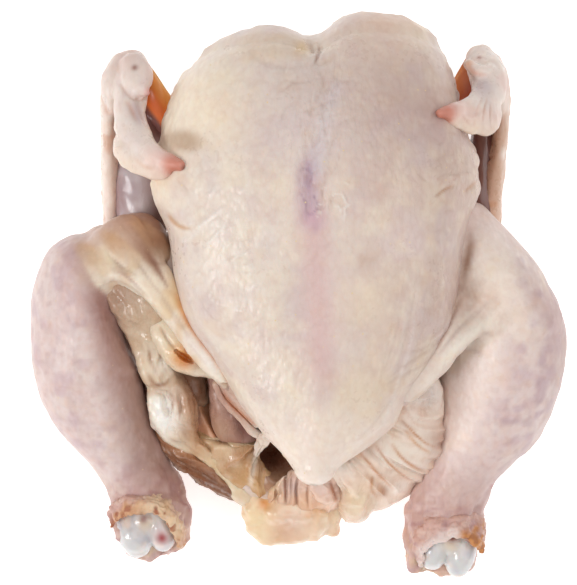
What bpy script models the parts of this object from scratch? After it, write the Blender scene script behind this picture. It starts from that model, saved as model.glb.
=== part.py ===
"""A whole raw chicken, plucked and drawn, without its head, neck and feet, lying on its back.

It has three solids. The carcass is one piece of skin, flesh and frame, open at the tail into the hollow
that the entrails left. The two leg bones sit in the drumsticks and show their cartilage ends where the feet
were cut off.

+Z is up and +Y runs from the tail to the neck. The origin lies under the middle of the back, on the surface
that the bird rests on. A bird grows in all its measures at once, so the places and sizes below are in units
of its breadth: it is 250 units wide across its knees. The meshes are in metres. Left and right are those of
someone who looks down on the breast with the neck away from them, so left is -X.
"""

import math

import bpy
import numpy as np

# The driving dimension: the breadth across the knees, in metres, as an oven-ready bird of 2.1 kg has.
BREADTH = 0.230
UNIT = BREADTH / 250

# Measures in units.
BREAST_TOP = 113.5
BREAST_HALF_WIDTH = 74.5
BACK_HALF_WIDTH = 60.0
LOBE_NOTCH = 11.0
LOBE_LEAD = 4.0
ANKLE_RADIUS = 17.0
KNUCKLE_RADIUS = 6.4
KNUCKLE_OFFSET = {"left": 3.0, "right": 0.0}
SHAFT_LENGTH = 40.0
FIT_GAP = 0.5

# How finely the solids are drawn.
VOXEL = 2.3
BONE_VOXEL = 0.9
CARCASS_FACES = 7700
BONE_FACES = 520
AROUND = 28
STEPS = 5
CAP_RINGS = 5

# The bird's joints, where the bones of each limb meet.
SIDES = ("left", "right")
OUTWARD = {"left": -1, "right": 1}
HIP = {"left": (-40, 2, 42), "right": (42, 8, 42)}
KNEE = {"left": (-101, 8, 50), "right": (89, -5, 51)}
HOCK = {"left": (-75, -117, 25), "right": (59, -125, 25)}
SHOULDER = {"left": (-46, 74, 40), "right": (48, 74, 40)}
ELBOW = {"left": (-92, 38, 27), "right": (83, 37, 27)}
WRIST = {"left": (-88, 105, 50), "right": (82, 108, 50)}


def splined(stations, steps=STEPS):
    """Rows on a Catmull-Rom curve through the stations, with every number of a station carried along."""
    rows = np.array(stations, float)
    padded = np.vstack([2 * rows[0] - rows[1], rows, 2 * rows[-1] - rows[-2]])
    t = np.linspace(0, 1, steps, endpoint=False)[:, None]
    spans = [
        0.5 * (2 * b + (c - a) * t + (2 * a - 5 * b + 4 * c - d) * t**2 + (3 * b - a - 3 * c + d) * t**3)
        for a, b, c, d in zip(padded, padded[1:], padded[2:], padded[3:])
    ]
    return np.vstack([*spans, rows[-1:]])


def with_round_ends(rows, reach):
    """The rows with rings added past each end, shrinking as a quarter circle does."""
    turn = np.linspace(0, math.pi / 2, CAP_RINGS + 1)[1:, None]

    def cap(end, neighbour):
        along = end[:3] - neighbour[:3]
        along = along / np.linalg.norm(along)
        places = end[:3] + along * min(end[3:]) * reach * np.sin(turn)
        return np.hstack([places, end[3:] * np.cos(turn)])

    return np.vstack([cap(rows[0], rows[1])[::-1], rows, cap(rows[-1], rows[-2])])


def loft(stations, squareness=2.0, reach=1.0):
    """Points and faces of a closed tube of superellipse rings along the stations.

    A station is x, y, z, half the width across and half the depth. squareness is the superellipse's power,
    and reach says how far the round ends stand out, as a share of the last ring's smaller half size.
    """
    rows = with_round_ends(splined(stations), reach)
    centres = rows[:, :3]
    along = np.gradient(centres, axis=0)
    along /= np.linalg.norm(along, axis=1, keepdims=True)
    across = np.cross(along, (0, 0, 1))
    across /= np.linalg.norm(across, axis=1, keepdims=True)
    upward = np.cross(across, along)
    turn = np.linspace(0, 2 * math.pi, AROUND, endpoint=False)
    power = 2 / squareness
    c = np.sign(np.cos(turn)) * abs(np.cos(turn)) ** power
    s = np.sign(np.sin(turn)) * abs(np.sin(turn)) ** power
    rings = (
        centres[1:-1, None]
        + across[1:-1, None] * rows[1:-1, 3, None, None] * c[:, None]
        + upward[1:-1, None] * rows[1:-1, 4, None, None] * s[:, None]
    )
    points = np.vstack([rings.reshape(-1, 3), centres[:1], centres[-1:]])
    first_pole, last_pole = len(points) - 2, len(points) - 1
    last_ring = (len(rings) - 1) * AROUND
    faces = []
    for i in range(AROUND):
        j = (i + 1) % AROUND
        for ring in range(0, last_ring, AROUND):
            faces.append((ring + i, ring + AROUND + i, ring + AROUND + j, ring + j))
        faces.append((first_pole, i, j))
        faces.append((last_ring + i, last_pole, last_ring + j))
    return points, faces


def along_bone(start, end, girth, outward):
    """Stations of a limb's flesh along the straight line from one joint to the next.

    Each row of girth is the share of the way, how far the flesh stands off the line towards the bird's outer
    side, half its width and half its depth.
    """
    start, end = np.array(start, float), np.array(end, float)
    return [
        (*(start + (end - start) * share + np.array((outward * aside, 0, 0))), across, deep)
        for share, aside, across, deep in girth
    ]


def breast():
    """Both fillets under one skin, from the tip of the keel to the two lobes at the neck."""
    rings, faces = loft((
        (2, -74, 78, 16, 13),
        (5, -63, 77, 29, 19),
        (6, -49, 75, 41, 26),
        (6, -36, 74, 51, 30),
        (4, -20, 72, 60, 35),
        (2, 2, 70, 66, 40),
        (1, 28, 68.5, 70.5, 44.5),
        (1, 54, 67.5, BREAST_HALF_WIDTH, BREAST_TOP - 67.5),
        (0, 82, 66, 70.5, 43.5),
        (0, 98, 65, 65.5, 38),
        (0, 111, 63, 58, 30),
    ), squareness=2.25, reach=0.6)
    # The front edge is drawn back between the lobes, and the right lobe leads the left.
    x, y = rings[:, 0], rings[:, 1]
    front = np.clip((y - 60) / 60, 0, 1) ** 2
    rings[:, 1] += front * (LOBE_LEAD * np.tanh(x / 25) - LOBE_NOTCH * np.exp(-(((x - 1) / 13) ** 2)))
    return rings, faces


def back():
    """The frame with its flesh, from the root of the neck to the hips, wide at the hips and flat below."""
    return loft((
        (0, 92, 33, 30, 28),
        (0, 70, 34.5, 43, 37),
        (0, 40, 35.5, 48, 39),
        (0, 5, 34.5, 51, 38),
        (0, -30, 30.5, 56, 34),
        (-1, -58, 26.5, BACK_HALF_WIDTH, 30),
        (-2, -78, 23, 53, 24),
        (-2, -92, 19, 39, 16),
    ), squareness=2.4, reach=0.7)


def neck_stub():
    """What is left of the neck, cut short between the shoulders."""
    return loft(((0, 84, 34, 30, 20), (0, 100, 31, 26, 16), (0, 112, 29, 20, 11)), squareness=2.4)


def tail():
    """The fatty tail, a flat blunt lobe."""
    stations = ((-6, -84, 20, 28, 13), (-9, -98, 22, 23, 11), (-10, -111, 24, 22, 8))
    return loft(stations, squareness=2.6, reach=0.8)


def opened_skin():
    """The folds of skin round the opening: from the knee to the keel, the left rim, and the right flap."""
    knee_to_keel = (
        (-92, 10, 58, 7, 6),
        (-76, -8, 61, 8, 6),
        (-62, -26, 62, 9, 7),
        (-46, -44, 62, 8, 7),
        (-31, -58, 65, 6, 6),
    )
    left_rim = (
        (-65, -22, 46, 12, 14),
        (-67, -40, 42, 12, 14),
        (-65, -57, 38, 11, 13),
        (-56, -73, 33, 10, 12),
        (-42, -85, 28, 9, 11),
        (-27, -93, 25, 9, 10),
    )
    right_flap = (
        (62, -34, 46, 12, 16),
        (54, -54, 42, 20, 18),
        (42, -69, 38, 25, 18),
        (28, -79, 34, 23, 16),
        (14, -88, 29, 17, 12),
    )
    return [loft(fold) for fold in (knee_to_keel, left_rim, right_flap)]


def leg(side):
    """A thigh from hip to knee and a drumstick from knee to hock, narrow above the ankle."""
    thigh = {
        "left": ((0, 0, 34, 30), (0.5, 0, 31, 28), (1, 0, 27, 25)),
        "right": ((0, 0, 34, 30), (0.5, 0, 33, 29), (1, 0, 28, 26)),
    }
    drumstick = {
        "left": (
            (0, 0, 28, 26),
            (0.18, 8, 27.5, 26),
            (0.34, 12, 27, 25),
            (0.47, 11.5, 24, 22),
            (0.59, 7, 20, 19),
            (0.72, 1.5, 16.5, 15.5),
            (0.85, -2.5, 16.5, 15),
            (0.94, -2, 18.5, 15),
            (1, -2, ANKLE_RADIUS, 14),
        ),
        "right": (
            (0, 0, 28, 26),
            (0.16, 5.5, 28, 27),
            (0.3, 6.5, 28, 26),
            (0.43, 6.5, 25, 23),
            (0.53, 3.5, 21, 20),
            (0.64, 0, 17, 16),
            (0.78, -3, 17, 15),
            (0.9, -3, 19, 15),
            (1, -1, ANKLE_RADIUS + 1, 14),
        ),
    }
    return [
        loft(along_bone(HIP[side], KNEE[side], thigh[side], OUTWARD[side])),
        loft(along_bone(KNEE[side], HOCK[side], drumstick[side], OUTWARD[side]), reach=0.5),
    ]


def wing(side):
    """A folded wing: upper wing out to the elbow, forearm forward to the wrist, hand back over the breast,
    and the skin that spans the bend from the elbow forward to the wrist."""
    upper_wing = ((0, 0, 15, 16), (0.5, 0, 14, 15), (1, 0, 10, 13))
    forearm = ((0, 0, 8, 14), (0.5, 0, 8, 15), (1, 0, 8, 13))
    hand = {
        "left": (
            (-85, 107, 56, 9.5, 8),
            (-87, 96, 66, 10.5, 7),
            (-86, 84, 72, 11.5, 7),
            (-82, 72, 76, 10.5, 6.5),
            (-73, 62, 79, 8.5, 5.5),
            (-63, 57, 81, 5.5, 4.5),
        ),
        "right": (
            (77, 110, 56, 9, 8),
            (79, 98, 66, 10, 7),
            (79, 88, 72, 12, 7),
            (73, 82, 76, 9.5, 6.5),
            (66, 81, 79, 7, 5),
            (59, 82, 80, 5, 4.5),
        ),
    }
    web = {
        "left": (
            (-90, 44, 28, 8, 6),
            (-84, 62, 30, 14, 6),
            (-74, 79, 33, 22, 6),
            (-77, 91, 38, 15, 6),
            (-81, 102, 45, 9, 6),
        ),
        "right": (
            (82, 44, 28, 8, 6),
            (77, 62, 30, 13, 6),
            (70, 79, 33, 20, 6),
            (71, 93, 38, 15, 6),
            (75, 106, 45, 9, 6),
        ),
    }
    return [
        loft(along_bone(SHOULDER[side], ELBOW[side], upper_wing, OUTWARD[side])),
        loft(along_bone(ELBOW[side], WRIST[side], forearm, OUTWARD[side]), squareness=2.6),
        loft(hand[side]),
        loft(web[side], squareness=2.6),
    ]


def hollow():
    """The space that the entrails left, from the root of the neck back and up to its mouth over the tail."""
    return loft((
        (2, 60, 38, 16, 10),
        (0, 32, 38, 34, 23),
        (-2, -8, 38, 40, 25),
        (-6, -42, 40, 38, 22),
        (-11, -68, 48, 26, 15),
        (-13, -90, 55, 20, 12),
        (-14, -112, 60, 20, 14),
    ))


def slit():
    """The cut where the skin was opened beside the left edge of the breast."""
    return loft(((-54, -38, 62, 7, 24), (-44, -56, 62, 9, 25), (-33, -74, 62, 9, 24), (-24, -90, 62, 9, 22)))


def leg_axes(side):
    """The end of the leg, and directions along the drumstick away from the body, across it and upward."""
    knee, hock = np.array(KNEE[side], float), np.array(HOCK[side], float)
    along = (hock - knee) / np.linalg.norm(hock - knee)
    across = np.cross(along, (0, 0, 1))
    across /= np.linalg.norm(across)
    return hock, along, across, np.cross(across, along)


def bone(side, gap):
    """A leg bone, grown by the gap: a shaft in the drumstick that ends in a pair of cartilage knuckles."""
    hock, along, across, upward = leg_axes(side)
    tip = hock - along * 6 + upward * 6 - across * KNUCKLE_OFFSET[side]
    shaft = [
        (*(tip - along * back - upward * sink), width + gap, width + gap)
        for back, sink, width in ((SHAFT_LENGTH, 5, 4), (28, 3, 4.5), (14, 1, 6), (6, 0, 8))
    ]
    tubes = [loft(shaft)]
    for hand in (-1, 1):
        centre = tip + across * KNUCKLE_RADIUS * hand
        knuckle = (
            (-8, -1, KNUCKLE_RADIUS, 6.5),
            (0, 0, KNUCKLE_RADIUS + 0.6, 8.5),
            (4, -2, KNUCKLE_RADIUS, 7.5),
        )
        tubes.append(loft([
            (*(centre + along * onward + upward * lift), width + gap, deep + gap)
            for onward, lift, width, deep in knuckle
        ]))
    return tubes


def ankle_cut(side):
    """The slanting scoop that took the foot off and left the knuckles showing above a lip of skin."""
    hock, along, across, upward = leg_axes(side)
    middle = hock + along * 2 + upward * 15
    return loft([(*(middle + along * onward), 14, 15) for onward in (-4, 4, 12)])


def mesh_object(name, tubes):
    """One object holding all the tubes, which may pass through each other."""
    points, faces, start = [], [], 0
    for tube_points, tube_faces in tubes:
        points.append(tube_points * UNIT)
        faces += [tuple(start + corner for corner in face) for face in tube_faces]
        start += len(tube_points)
    mesh = bpy.data.meshes.new(name)
    mesh.from_pydata(np.vstack(points).tolist(), [], faces)
    mesh.shade_smooth()
    obj = bpy.data.objects.new(name, mesh)
    bpy.context.scene.collection.objects.link(obj)
    return obj


def fused(obj, voxel, softening):
    """Adds modifiers that make the object's crossing tubes one skin, and soften it where they meet."""
    remesh = obj.modifiers.new("fuse", "REMESH")
    remesh.mode = "VOXEL"
    remesh.voxel_size = voxel * UNIT
    remesh.use_smooth_shade = True
    smooth = obj.modifiers.new("soften", "SMOOTH")
    smooth.factor = 0.5
    smooth.iterations = softening


def thinned(obj, faces):
    """Adds a modifier that brings the object down to about that many triangles."""
    graph = bpy.context.evaluated_depsgraph_get()
    mesh = obj.evaluated_get(graph).to_mesh()
    mesh.calc_loop_triangles()
    decimate = obj.modifiers.new("thin", "DECIMATE")
    decimate.ratio = min(1, faces / len(mesh.loop_triangles))


def cut(obj, cutter):
    """Adds a Boolean that takes the cutter, a guide that isn't part of the bird, out of the object."""
    cutter.hide_render = True
    cutter.display_type = "WIRE"
    boolean = obj.modifiers.new(cutter.name, "BOOLEAN")
    boolean.operation = "DIFFERENCE"
    boolean.object = cutter


def ground():
    """A slab just under the surface that the bird rests on: what it takes off leaves a flat place."""
    corners = [(x, y, z) for z in (-30, 0) for x, y in ((-200, -200), (200, -200), (200, 200), (-200, 200))]
    faces = [(3, 2, 1, 0), (4, 5, 6, 7), (0, 1, 5, 4), (1, 2, 6, 5), (2, 3, 7, 6), (3, 0, 4, 7)]
    return mesh_object("ground", [(np.array(corners, float), faces)])


def painted(obj, name, colour, roughness):
    """Gives the object its own material."""
    material = bpy.data.materials.new(name)
    material.use_nodes = True
    shader = material.node_tree.nodes["Principled BSDF"]
    shader.inputs["Base Color"].default_value = (*colour, 1)
    shader.inputs["Roughness"].default_value = roughness
    obj.data.materials.append(material)


def main():
    for obj in list(bpy.data.objects):
        bpy.data.objects.remove(obj)

    flesh = [breast(), back(), neck_stub(), tail(), *opened_skin()]
    for side in SIDES:
        flesh += leg(side) + wing(side)
    carcass = mesh_object("carcass", flesh)
    fused(carcass, VOXEL, softening=4)
    cut(carcass, mesh_object("hollow", [hollow()]))
    cut(carcass, mesh_object("slit", [slit()]))
    for side in SIDES:
        cut(carcass, mesh_object("ankle_cut_" + side, [ankle_cut(side)]))
    fused(carcass, VOXEL, softening=2)
    thinned(carcass, CARCASS_FACES)
    cut(carcass, ground())
    painted(carcass, "skin", (0.80, 0.68, 0.60), 0.4)

    for side in SIDES:
        leg_bone = mesh_object("leg_bone_" + side, bone(side, 0))
        fused(leg_bone, BONE_VOXEL, softening=4)
        thinned(leg_bone, BONE_FACES)
        painted(leg_bone, "cartilage_" + side, (0.72, 0.72, 0.74), 0.25)
        socket = mesh_object("socket_" + side, bone(side, FIT_GAP))
        fused(socket, BONE_VOXEL, softening=4)
        thinned(socket, BONE_FACES)
        cut(carcass, socket)


main()
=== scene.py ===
"""The looks of a whole raw chicken, lying on its back with its neck away from the camera.

Places and sizes are in units of the bird's breadth: it is 249.5 units wide across its knees. Left and right
are those of the view from above, so left is -X.
"""

import bpy
import numpy as np
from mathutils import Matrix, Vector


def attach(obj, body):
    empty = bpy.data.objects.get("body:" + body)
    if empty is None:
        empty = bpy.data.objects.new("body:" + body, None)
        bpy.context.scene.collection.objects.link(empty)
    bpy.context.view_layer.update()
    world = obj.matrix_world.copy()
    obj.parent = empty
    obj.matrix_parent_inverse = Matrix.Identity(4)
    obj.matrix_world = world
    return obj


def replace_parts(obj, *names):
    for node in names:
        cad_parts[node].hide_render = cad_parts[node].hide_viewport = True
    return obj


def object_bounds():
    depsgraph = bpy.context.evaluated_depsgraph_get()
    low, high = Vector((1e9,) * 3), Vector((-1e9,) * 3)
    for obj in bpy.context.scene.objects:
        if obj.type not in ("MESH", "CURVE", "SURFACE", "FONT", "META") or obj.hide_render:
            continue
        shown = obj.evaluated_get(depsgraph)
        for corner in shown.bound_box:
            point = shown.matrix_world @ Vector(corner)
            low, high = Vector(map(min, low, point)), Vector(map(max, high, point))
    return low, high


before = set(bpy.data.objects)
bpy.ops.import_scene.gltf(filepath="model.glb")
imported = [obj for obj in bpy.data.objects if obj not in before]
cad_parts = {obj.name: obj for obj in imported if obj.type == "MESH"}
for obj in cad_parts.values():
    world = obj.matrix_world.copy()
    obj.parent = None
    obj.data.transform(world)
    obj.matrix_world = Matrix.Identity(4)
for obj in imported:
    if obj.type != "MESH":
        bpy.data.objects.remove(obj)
cad_low, cad_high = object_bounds()

# ---------------------------------------------------------------------------------------------------------
# The breast: both fillets under one tight skin, from the tip of the keel to the two lobes at the neck.
# Thin cream skin over pale flesh, bruised purple along the keel, with rows of small bumps where the
# feathers were plucked. It is one closed dome that lies over the frame.

unit = (cad_high.x - cad_low.x) / 249.5


def smoothstep(low, high, value):
    """0 below low, 1 above high, and 3t^2 - 2t^3 between, with t the share of the way from low to high."""
    t = np.clip((value - low) / (high - low), 0, 1)
    return t * t * (3 - 2 * t)


def bell(away, width):
    """1 where away is 0, falling off on both sides as exp(-(away / width)^2)."""
    return np.exp(-((away / width) ** 2))


def splined(rows, steps):
    """Rows on a Catmull-Rom curve through the given ones, with the number of steps from each to the next."""
    rows = np.asarray(rows, float)
    padded = np.concatenate([2 * rows[:1] - rows[1:2], rows, 2 * rows[-1:] - rows[-2:-1]])
    t = np.linspace(0, 1, steps, endpoint=False).reshape(-1, *[1] * (rows.ndim - 1))
    spans = [
        0.5 * (2 * b + (c - a) * t + (2 * a - 5 * b + 4 * c - d) * t**2 + (3 * b - a - 3 * c + d) * t**3)
        for a, b, c, d in zip(padded, padded[1:], padded[2:], padded[3:])
    ]
    return np.concatenate([*spans, rows[-1:]])


def route(stations, count):
    """The given number of rows at even steps along the splined curve through the stations.

    Every number of a station is carried along, and is read off at even shares of the curve's length.
    """
    fine = splined(stations, 24)
    length = np.concatenate([[0], np.cumsum(np.linalg.norm(np.diff(fine[:, :3], axis=0), axis=1))])
    at = np.linspace(0, length[-1], count)
    return np.stack([np.interp(at, length, column) for column in fine.T], axis=1)


def with_round_ends(rows, reach, steps=7):
    """The rows with more past each end, whose sizes shrink as a quarter circle does while they move on."""
    turn = np.linspace(0, np.pi / 2, steps + 1)[1:, None]

    def cap(end, neighbour):
        along = end[:3] - neighbour[:3]
        along = along / np.linalg.norm(along)
        places = end[:3] + along * min(end[3:5]) * reach * np.sin(turn)
        return np.hstack([places, end[3:] * np.cos(turn)])

    return np.vstack([cap(rows[0], rows[1])[::-1], rows, cap(rows[-1], rows[-2])])


def rings(stations, count, around, squareness=2.0, reach=1.0, crowd=0.0):
    """A grid of points: rings of a superellipse carried along the stations' curve.

    A station is x, y, z, half the width across, half the depth. The superellipse is cos and sin of the
    angle, each raised to 2 / squareness with its sign kept. The angle is t + crowd x cos(t), which draws
    the points together on the upper side.
    """
    rows = with_round_ends(route(stations, count), reach)
    centres = rows[:, :3]
    along = np.gradient(centres, axis=0)
    along /= np.linalg.norm(along, axis=1, keepdims=True)
    across = np.cross(along, (0, 0, 1))
    across /= np.linalg.norm(across, axis=1, keepdims=True)
    upward = np.cross(across, along)
    turn = np.linspace(0, 2 * np.pi, around, endpoint=False)
    turn = turn + crowd * np.cos(turn)
    power = 2 / squareness
    c = np.sign(np.cos(turn)) * abs(np.cos(turn)) ** power
    s = np.sign(np.sin(turn)) * abs(np.sin(turn)) ** power
    return (
        centres[:, None]
        + across[:, None] * rows[:, 3, None, None] * c[:, None]
        + upward[:, None] * rows[:, 4, None, None] * s[:, None]
    )


def outward(grid):
    """Unit normals of a grid that closes round its second axis: the cross product of its two differences."""
    along = np.gradient(grid, axis=0)
    around = np.roll(grid, -1, axis=1) - np.roll(grid, 1, axis=1)
    normal = np.cross(along, around)
    return normal / np.maximum(np.linalg.norm(normal, axis=2, keepdims=True), 1e-9)


def closed(grid):
    """Points and faces of the grid's rings as one closed tube: quads between rings, a fan at each pole."""
    count, around = grid.shape[:2]
    points = np.vstack([grid[1:-1].reshape(-1, 3), grid[:1].mean(axis=1), grid[-1:].mean(axis=1)])
    first = np.arange(around)
    after = np.roll(first, -1)
    start = (np.arange(count - 3) * around)[:, None]
    quads = np.stack([start + first, start + around + first, start + around + after, start + after], axis=-1)
    poles = len(points) - 2
    last = (count - 3) * around
    tops = np.stack([np.full(around, poles), first, after], axis=-1)
    tails = np.stack([last + first, np.full(around, poles + 1), last + after], axis=-1)
    return points, quads.reshape(-1, 4).tolist() + tops.tolist() + tails.tolist()


lattice = np.random.default_rng(5).random((24, 24, 24))


def billow(points, size, shift=0.0):
    """Smooth noise from -1 to 1: random numbers at the corners of cells, blended across each cell by the
    smoothstep of the place in it."""
    place = points / size + shift
    cell = np.floor(place).astype(int)
    share = place - cell
    share = share * share * (3 - 2 * share)
    total = 0
    for corner in np.ndindex(2, 2, 2):
        weight = np.prod(np.where(corner, share, 1 - share), axis=-1)
        x, y, z = np.moveaxis((cell + corner) % 24, -1, 0)
        total = total + weight * lattice[x, y, z]
    return total * 2 - 1


def furrow(points, path, width):
    """1 on a curve through the path's points and falling to 0 beside it as exp(-(distance / width)^2).

    It fades out towards the curve's ends. A difference in height counts a quarter, and nothing at all where
    the path is given without heights.
    """
    path = np.array(path, float)
    flat = np.zeros((len(path), 3))
    flat[:, : path.shape[1]] = path
    scale = np.array((1, 1, 0.25 if path.shape[1] == 3 else 0))
    line = route(flat, 40) * scale
    points = points * scale
    near = np.all((points > line.min(0) - 3 * width) & (points < line.max(0) + 3 * width), axis=-1)
    away = np.linalg.norm(points[near][:, None] - line, axis=-1)
    depth = np.zeros(points.shape[:-1])
    if near.any():
        closest = away.argmin(axis=1)
        fade = np.sin(np.pi * np.clip((closest + 1) / 41, 0, 1)) ** 0.5
        depth[near] = bell(away.min(axis=1), width) * fade
    return depth


def spot(points, place, size):
    """1 at the place, falling off round it as exp(-(distance / size)^2), where height counts two fifths."""
    away = (points[..., : len(place)] - np.array(place, float)) * (1, 1, 0.4)[: len(place)]
    return bell(np.linalg.norm(away, axis=-1), size)


def linear(colour):
    """A colour given as 0 to 255 values on a screen, as the linear light that a shader works in."""
    c = np.array(colour, float) / 255
    return np.where(c <= 0.04045, c / 12.92, ((c + 0.055) / 1.055) ** 2.4)


class Paint:
    """Colours for a set of points: a ground colour, and others laid over it where a mask is 1.

    crepe says how finely wrinkled the skin is at each point, from 0 to 1.
    """

    def __init__(self, points, ground, crepe=0.0):
        self.points = points
        self.colour = np.tile(linear(ground), (len(points), 1))
        self.crepe = np.full(len(points), float(crepe))

    def lay(self, colour, mask):
        mask = np.clip(mask, 0, 1)[:, None]
        self.colour = self.colour * (1 - mask) + linear(colour) * mask

    def touch(self, colour, place, size, strength=1):
        """Lays the colour round a place."""
        self.lay(colour, strength * spot(self.points, place, size))

    def stroke(self, colour, path, width, strength=1):
        """Lays the colour along a path."""
        self.lay(colour, strength * furrow(self.points, path, width))

    def cloud(self, colour, size, shift, strength):
        """Lays the colour in soft patches of about the size given."""
        self.lay(colour, strength * smoothstep(0.0, 0.75, billow(self.points, size, shift)))


def new_mesh(name, points, faces):
    """A mesh of points given in units."""
    mesh = bpy.data.meshes.new(name)
    mesh.from_pydata((points * unit).tolist(), [], faces)
    return mesh


def finished(name, mesh, paint, material):
    """An object for the mesh, painted at each vertex, that rides on the bird."""
    mesh.shade_smooth()
    layer = mesh.attributes.new("paint", "FLOAT_COLOR", "POINT")
    values = np.hstack([paint.colour, np.ones((len(paint.colour), 1))])
    layer.data.foreach_set("color", values.astype(np.float32).ravel())
    layer = mesh.attributes.new("crepe", "FLOAT", "POINT")
    layer.data.foreach_set("value", np.clip(paint.crepe, 0, 1).astype(np.float32))
    mesh.materials.append(material)
    obj = bpy.data.objects.new(name, mesh)
    bpy.context.scene.collection.objects.link(obj)
    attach(obj, "root")
    return obj


class Wire:
    """A node socket that can be added to, multiplied and so on; each operation adds a Math node."""

    def __init__(self, tree, socket):
        self.tree, self.socket = tree, socket

    def node(self, kind, settings=(), **inputs):
        """A node of the kind, with its settings made first and then its inputs set or linked."""
        node = self.tree.nodes.new(kind)
        for key, value in dict(settings).items():
            setattr(node, key, value)
        for key, value in inputs.items():
            socket = node.inputs[int(key[1:])] if key[1:].isdigit() else node.inputs[key.replace("_", " ")]
            if isinstance(value, Wire):
                self.tree.links.new(value.socket, socket)
            else:
                socket.default_value = value
        return node

    def wire(self, kind, output, settings=(), **inputs):
        return Wire(self.tree, self.node(kind, settings, **inputs).outputs[output])

    def math(self, operation, a, b):
        return self.wire("ShaderNodeMath", 0, {"operation": operation}, i0=a, i1=b)

    def __abs__(self):
        return self.wire("ShaderNodeMath", 0, {"operation": "ABSOLUTE"}, i0=self)

    def __add__(self, other):
        return self.math("ADD", self, other)

    def __sub__(self, other):
        return self.math("SUBTRACT", self, other)

    def __rsub__(self, other):
        return self.math("SUBTRACT", other, self)

    def __mul__(self, other):
        return self.math("MULTIPLY", self, other)

    __radd__ = __add__
    __rmul__ = __mul__

    def over(self, low, high):
        """0 where this is at low, 1 where it is at high, smooth between."""
        return self.wire(
            "ShaderNodeMapRange", "Result", {"interpolation_type": "SMOOTHSTEP"},
            Value=self, From_Min=low, From_Max=high,
        )

    def toward(self, colour, share, blend="MIX"):
        """This colour moved towards another by the share."""
        settings = {"data_type": "RGBA", "blend_type": blend}
        mixer = self.node("ShaderNodeMix", settings, i0=share, i6=self, i7=colour)
        return Wire(self.tree, mixer.outputs[2])


def flesh_material(
    name, roughness=0.4, coat=0.1, bumps=1.0, mottle=1.0, soft=0.15, specks=0.0, wet=0.0, lean=-0.5
):
    """Skin, fat or flesh: the painted colour with mottling, bumps of plucked feathers, wrinkles and moisture.

    bumps scales the relief and mottle the unevenness of colour, soft is the light let through, specks the
    yellow grains of fat at the feather pits, wet how much of the surface is smooth and shining, and lean
    the angle of the fine wrinkles that the crepe attribute brings out.
    """
    material = bpy.data.materials.new(name)
    material.use_nodes = True
    tree = material.node_tree
    shader = tree.nodes["Principled BSDF"]
    start = Wire(tree, None)
    place = start.wire("ShaderNodeTexCoord", "Object")
    colour = start.wire("ShaderNodeAttribute", "Color", {"attribute_name": "paint"})
    crepe = start.wire("ShaderNodeAttribute", "Fac", {"attribute_name": "crepe"})

    def noise(scale, detail=3.0, rough=0.55, where=place):
        return start.wire(
            "ShaderNodeTexNoise", "Fac", Vector=where, Scale=scale, Detail=detail, Roughness=rough
        )

    def turned(angle, scale):
        return start.wire("ShaderNodeMapping", "Vector", Vector=place, Rotation=(0, 0, angle), Scale=scale)

    broad, patchy, fine = noise(38), noise(130, 3.0), noise(420, 1.0)
    pits = start.wire(
        "ShaderNodeTexVoronoi", "Distance", {"feature": "SMOOTH_F1"},
        Vector=turned(0.8, (1.0, 0.7, 0.8)), Scale=430.0, Smoothness=0.6,
    )
    folds = abs(noise(210, 2.5, 0.55, turned(lean, (1.0, 0.3, 0.5))) - 0.5).over(0.0, 0.05)
    threads = abs(noise(620, 2.0, 0.5, turned(lean, (1.0, 0.35, 0.6))) - 0.5).over(0.0, 0.07)
    crease = crepe * (1 - folds * 0.65 - threads * 0.35)
    colour = colour.toward((0.88, 0.77, 0.76, 1), broad.over(0.5, 0.72) * (0.3 * mottle), "MULTIPLY")
    colour = colour.toward((1.0, 0.95, 0.87, 1), patchy.over(0.5, 0.7) * (0.35 * mottle), "MULTIPLY")
    colour = colour.toward((0.88, 0.80, 0.78, 1), fine.over(0.5, 0.64) * (0.15 * mottle), "MULTIPLY")
    # Painted shade: the colour darkens between the feather bumps and along the fine wrinkles.
    colour = colour.toward((0.90, 0.85, 0.82, 1), pits.over(0.3, 0.8) * (0.16 * bumps), "MULTIPLY")
    colour = colour.toward((0.78, 0.60, 0.48, 1), crease * 0.4, "MULTIPLY")
    if specks:
        pores = start.node("ShaderNodeTexVoronoi", (), Vector=place, Scale=260.0)
        pore = Wire(tree, pores.outputs["Distance"]).over(0.12, 0.05)
        tone = Wire(tree, pores.outputs["Color"])
        yellow = start.wire("ShaderNodeSeparateColor", 0, (), Color=tone).over(0.76, 0.8)
        colour = colour.toward((0.80, 0.60, 0.30, 1), pore * yellow * specks)

    height = (1 - pits.over(0.0, 0.85)) * (0.26 * bumps) + patchy * 0.3 + fine * 0.08 - crease * 0.6
    bump = start.wire("ShaderNodeBump", "Normal", (), Strength=0.5, Distance=0.0007, Height=height)
    tree.links.new(colour.socket, shader.inputs["Base Color"])
    tree.links.new(bump.socket, shader.inputs["Normal"])
    shine = roughness + (broad - 0.5) * 0.25 - fine.over(0.5, 0.62) * (0.1 + 0.14 * wet)
    tree.links.new(shine.socket, shader.inputs["Roughness"])
    shader.inputs["Coat Weight"].default_value = coat
    shader.inputs["Coat Roughness"].default_value = 0.3
    shader.inputs["Subsurface Weight"].default_value = soft
    shader.inputs["Subsurface Radius"].default_value = (1.0, 0.5, 0.35)
    shader.inputs["Subsurface Scale"].default_value = 0.003
    return material


breast_skin = flesh_material("breast_skin", bumps=2.0, mottle=1.3, specks=1.0, coat=0.08, roughness=0.4)

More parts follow.
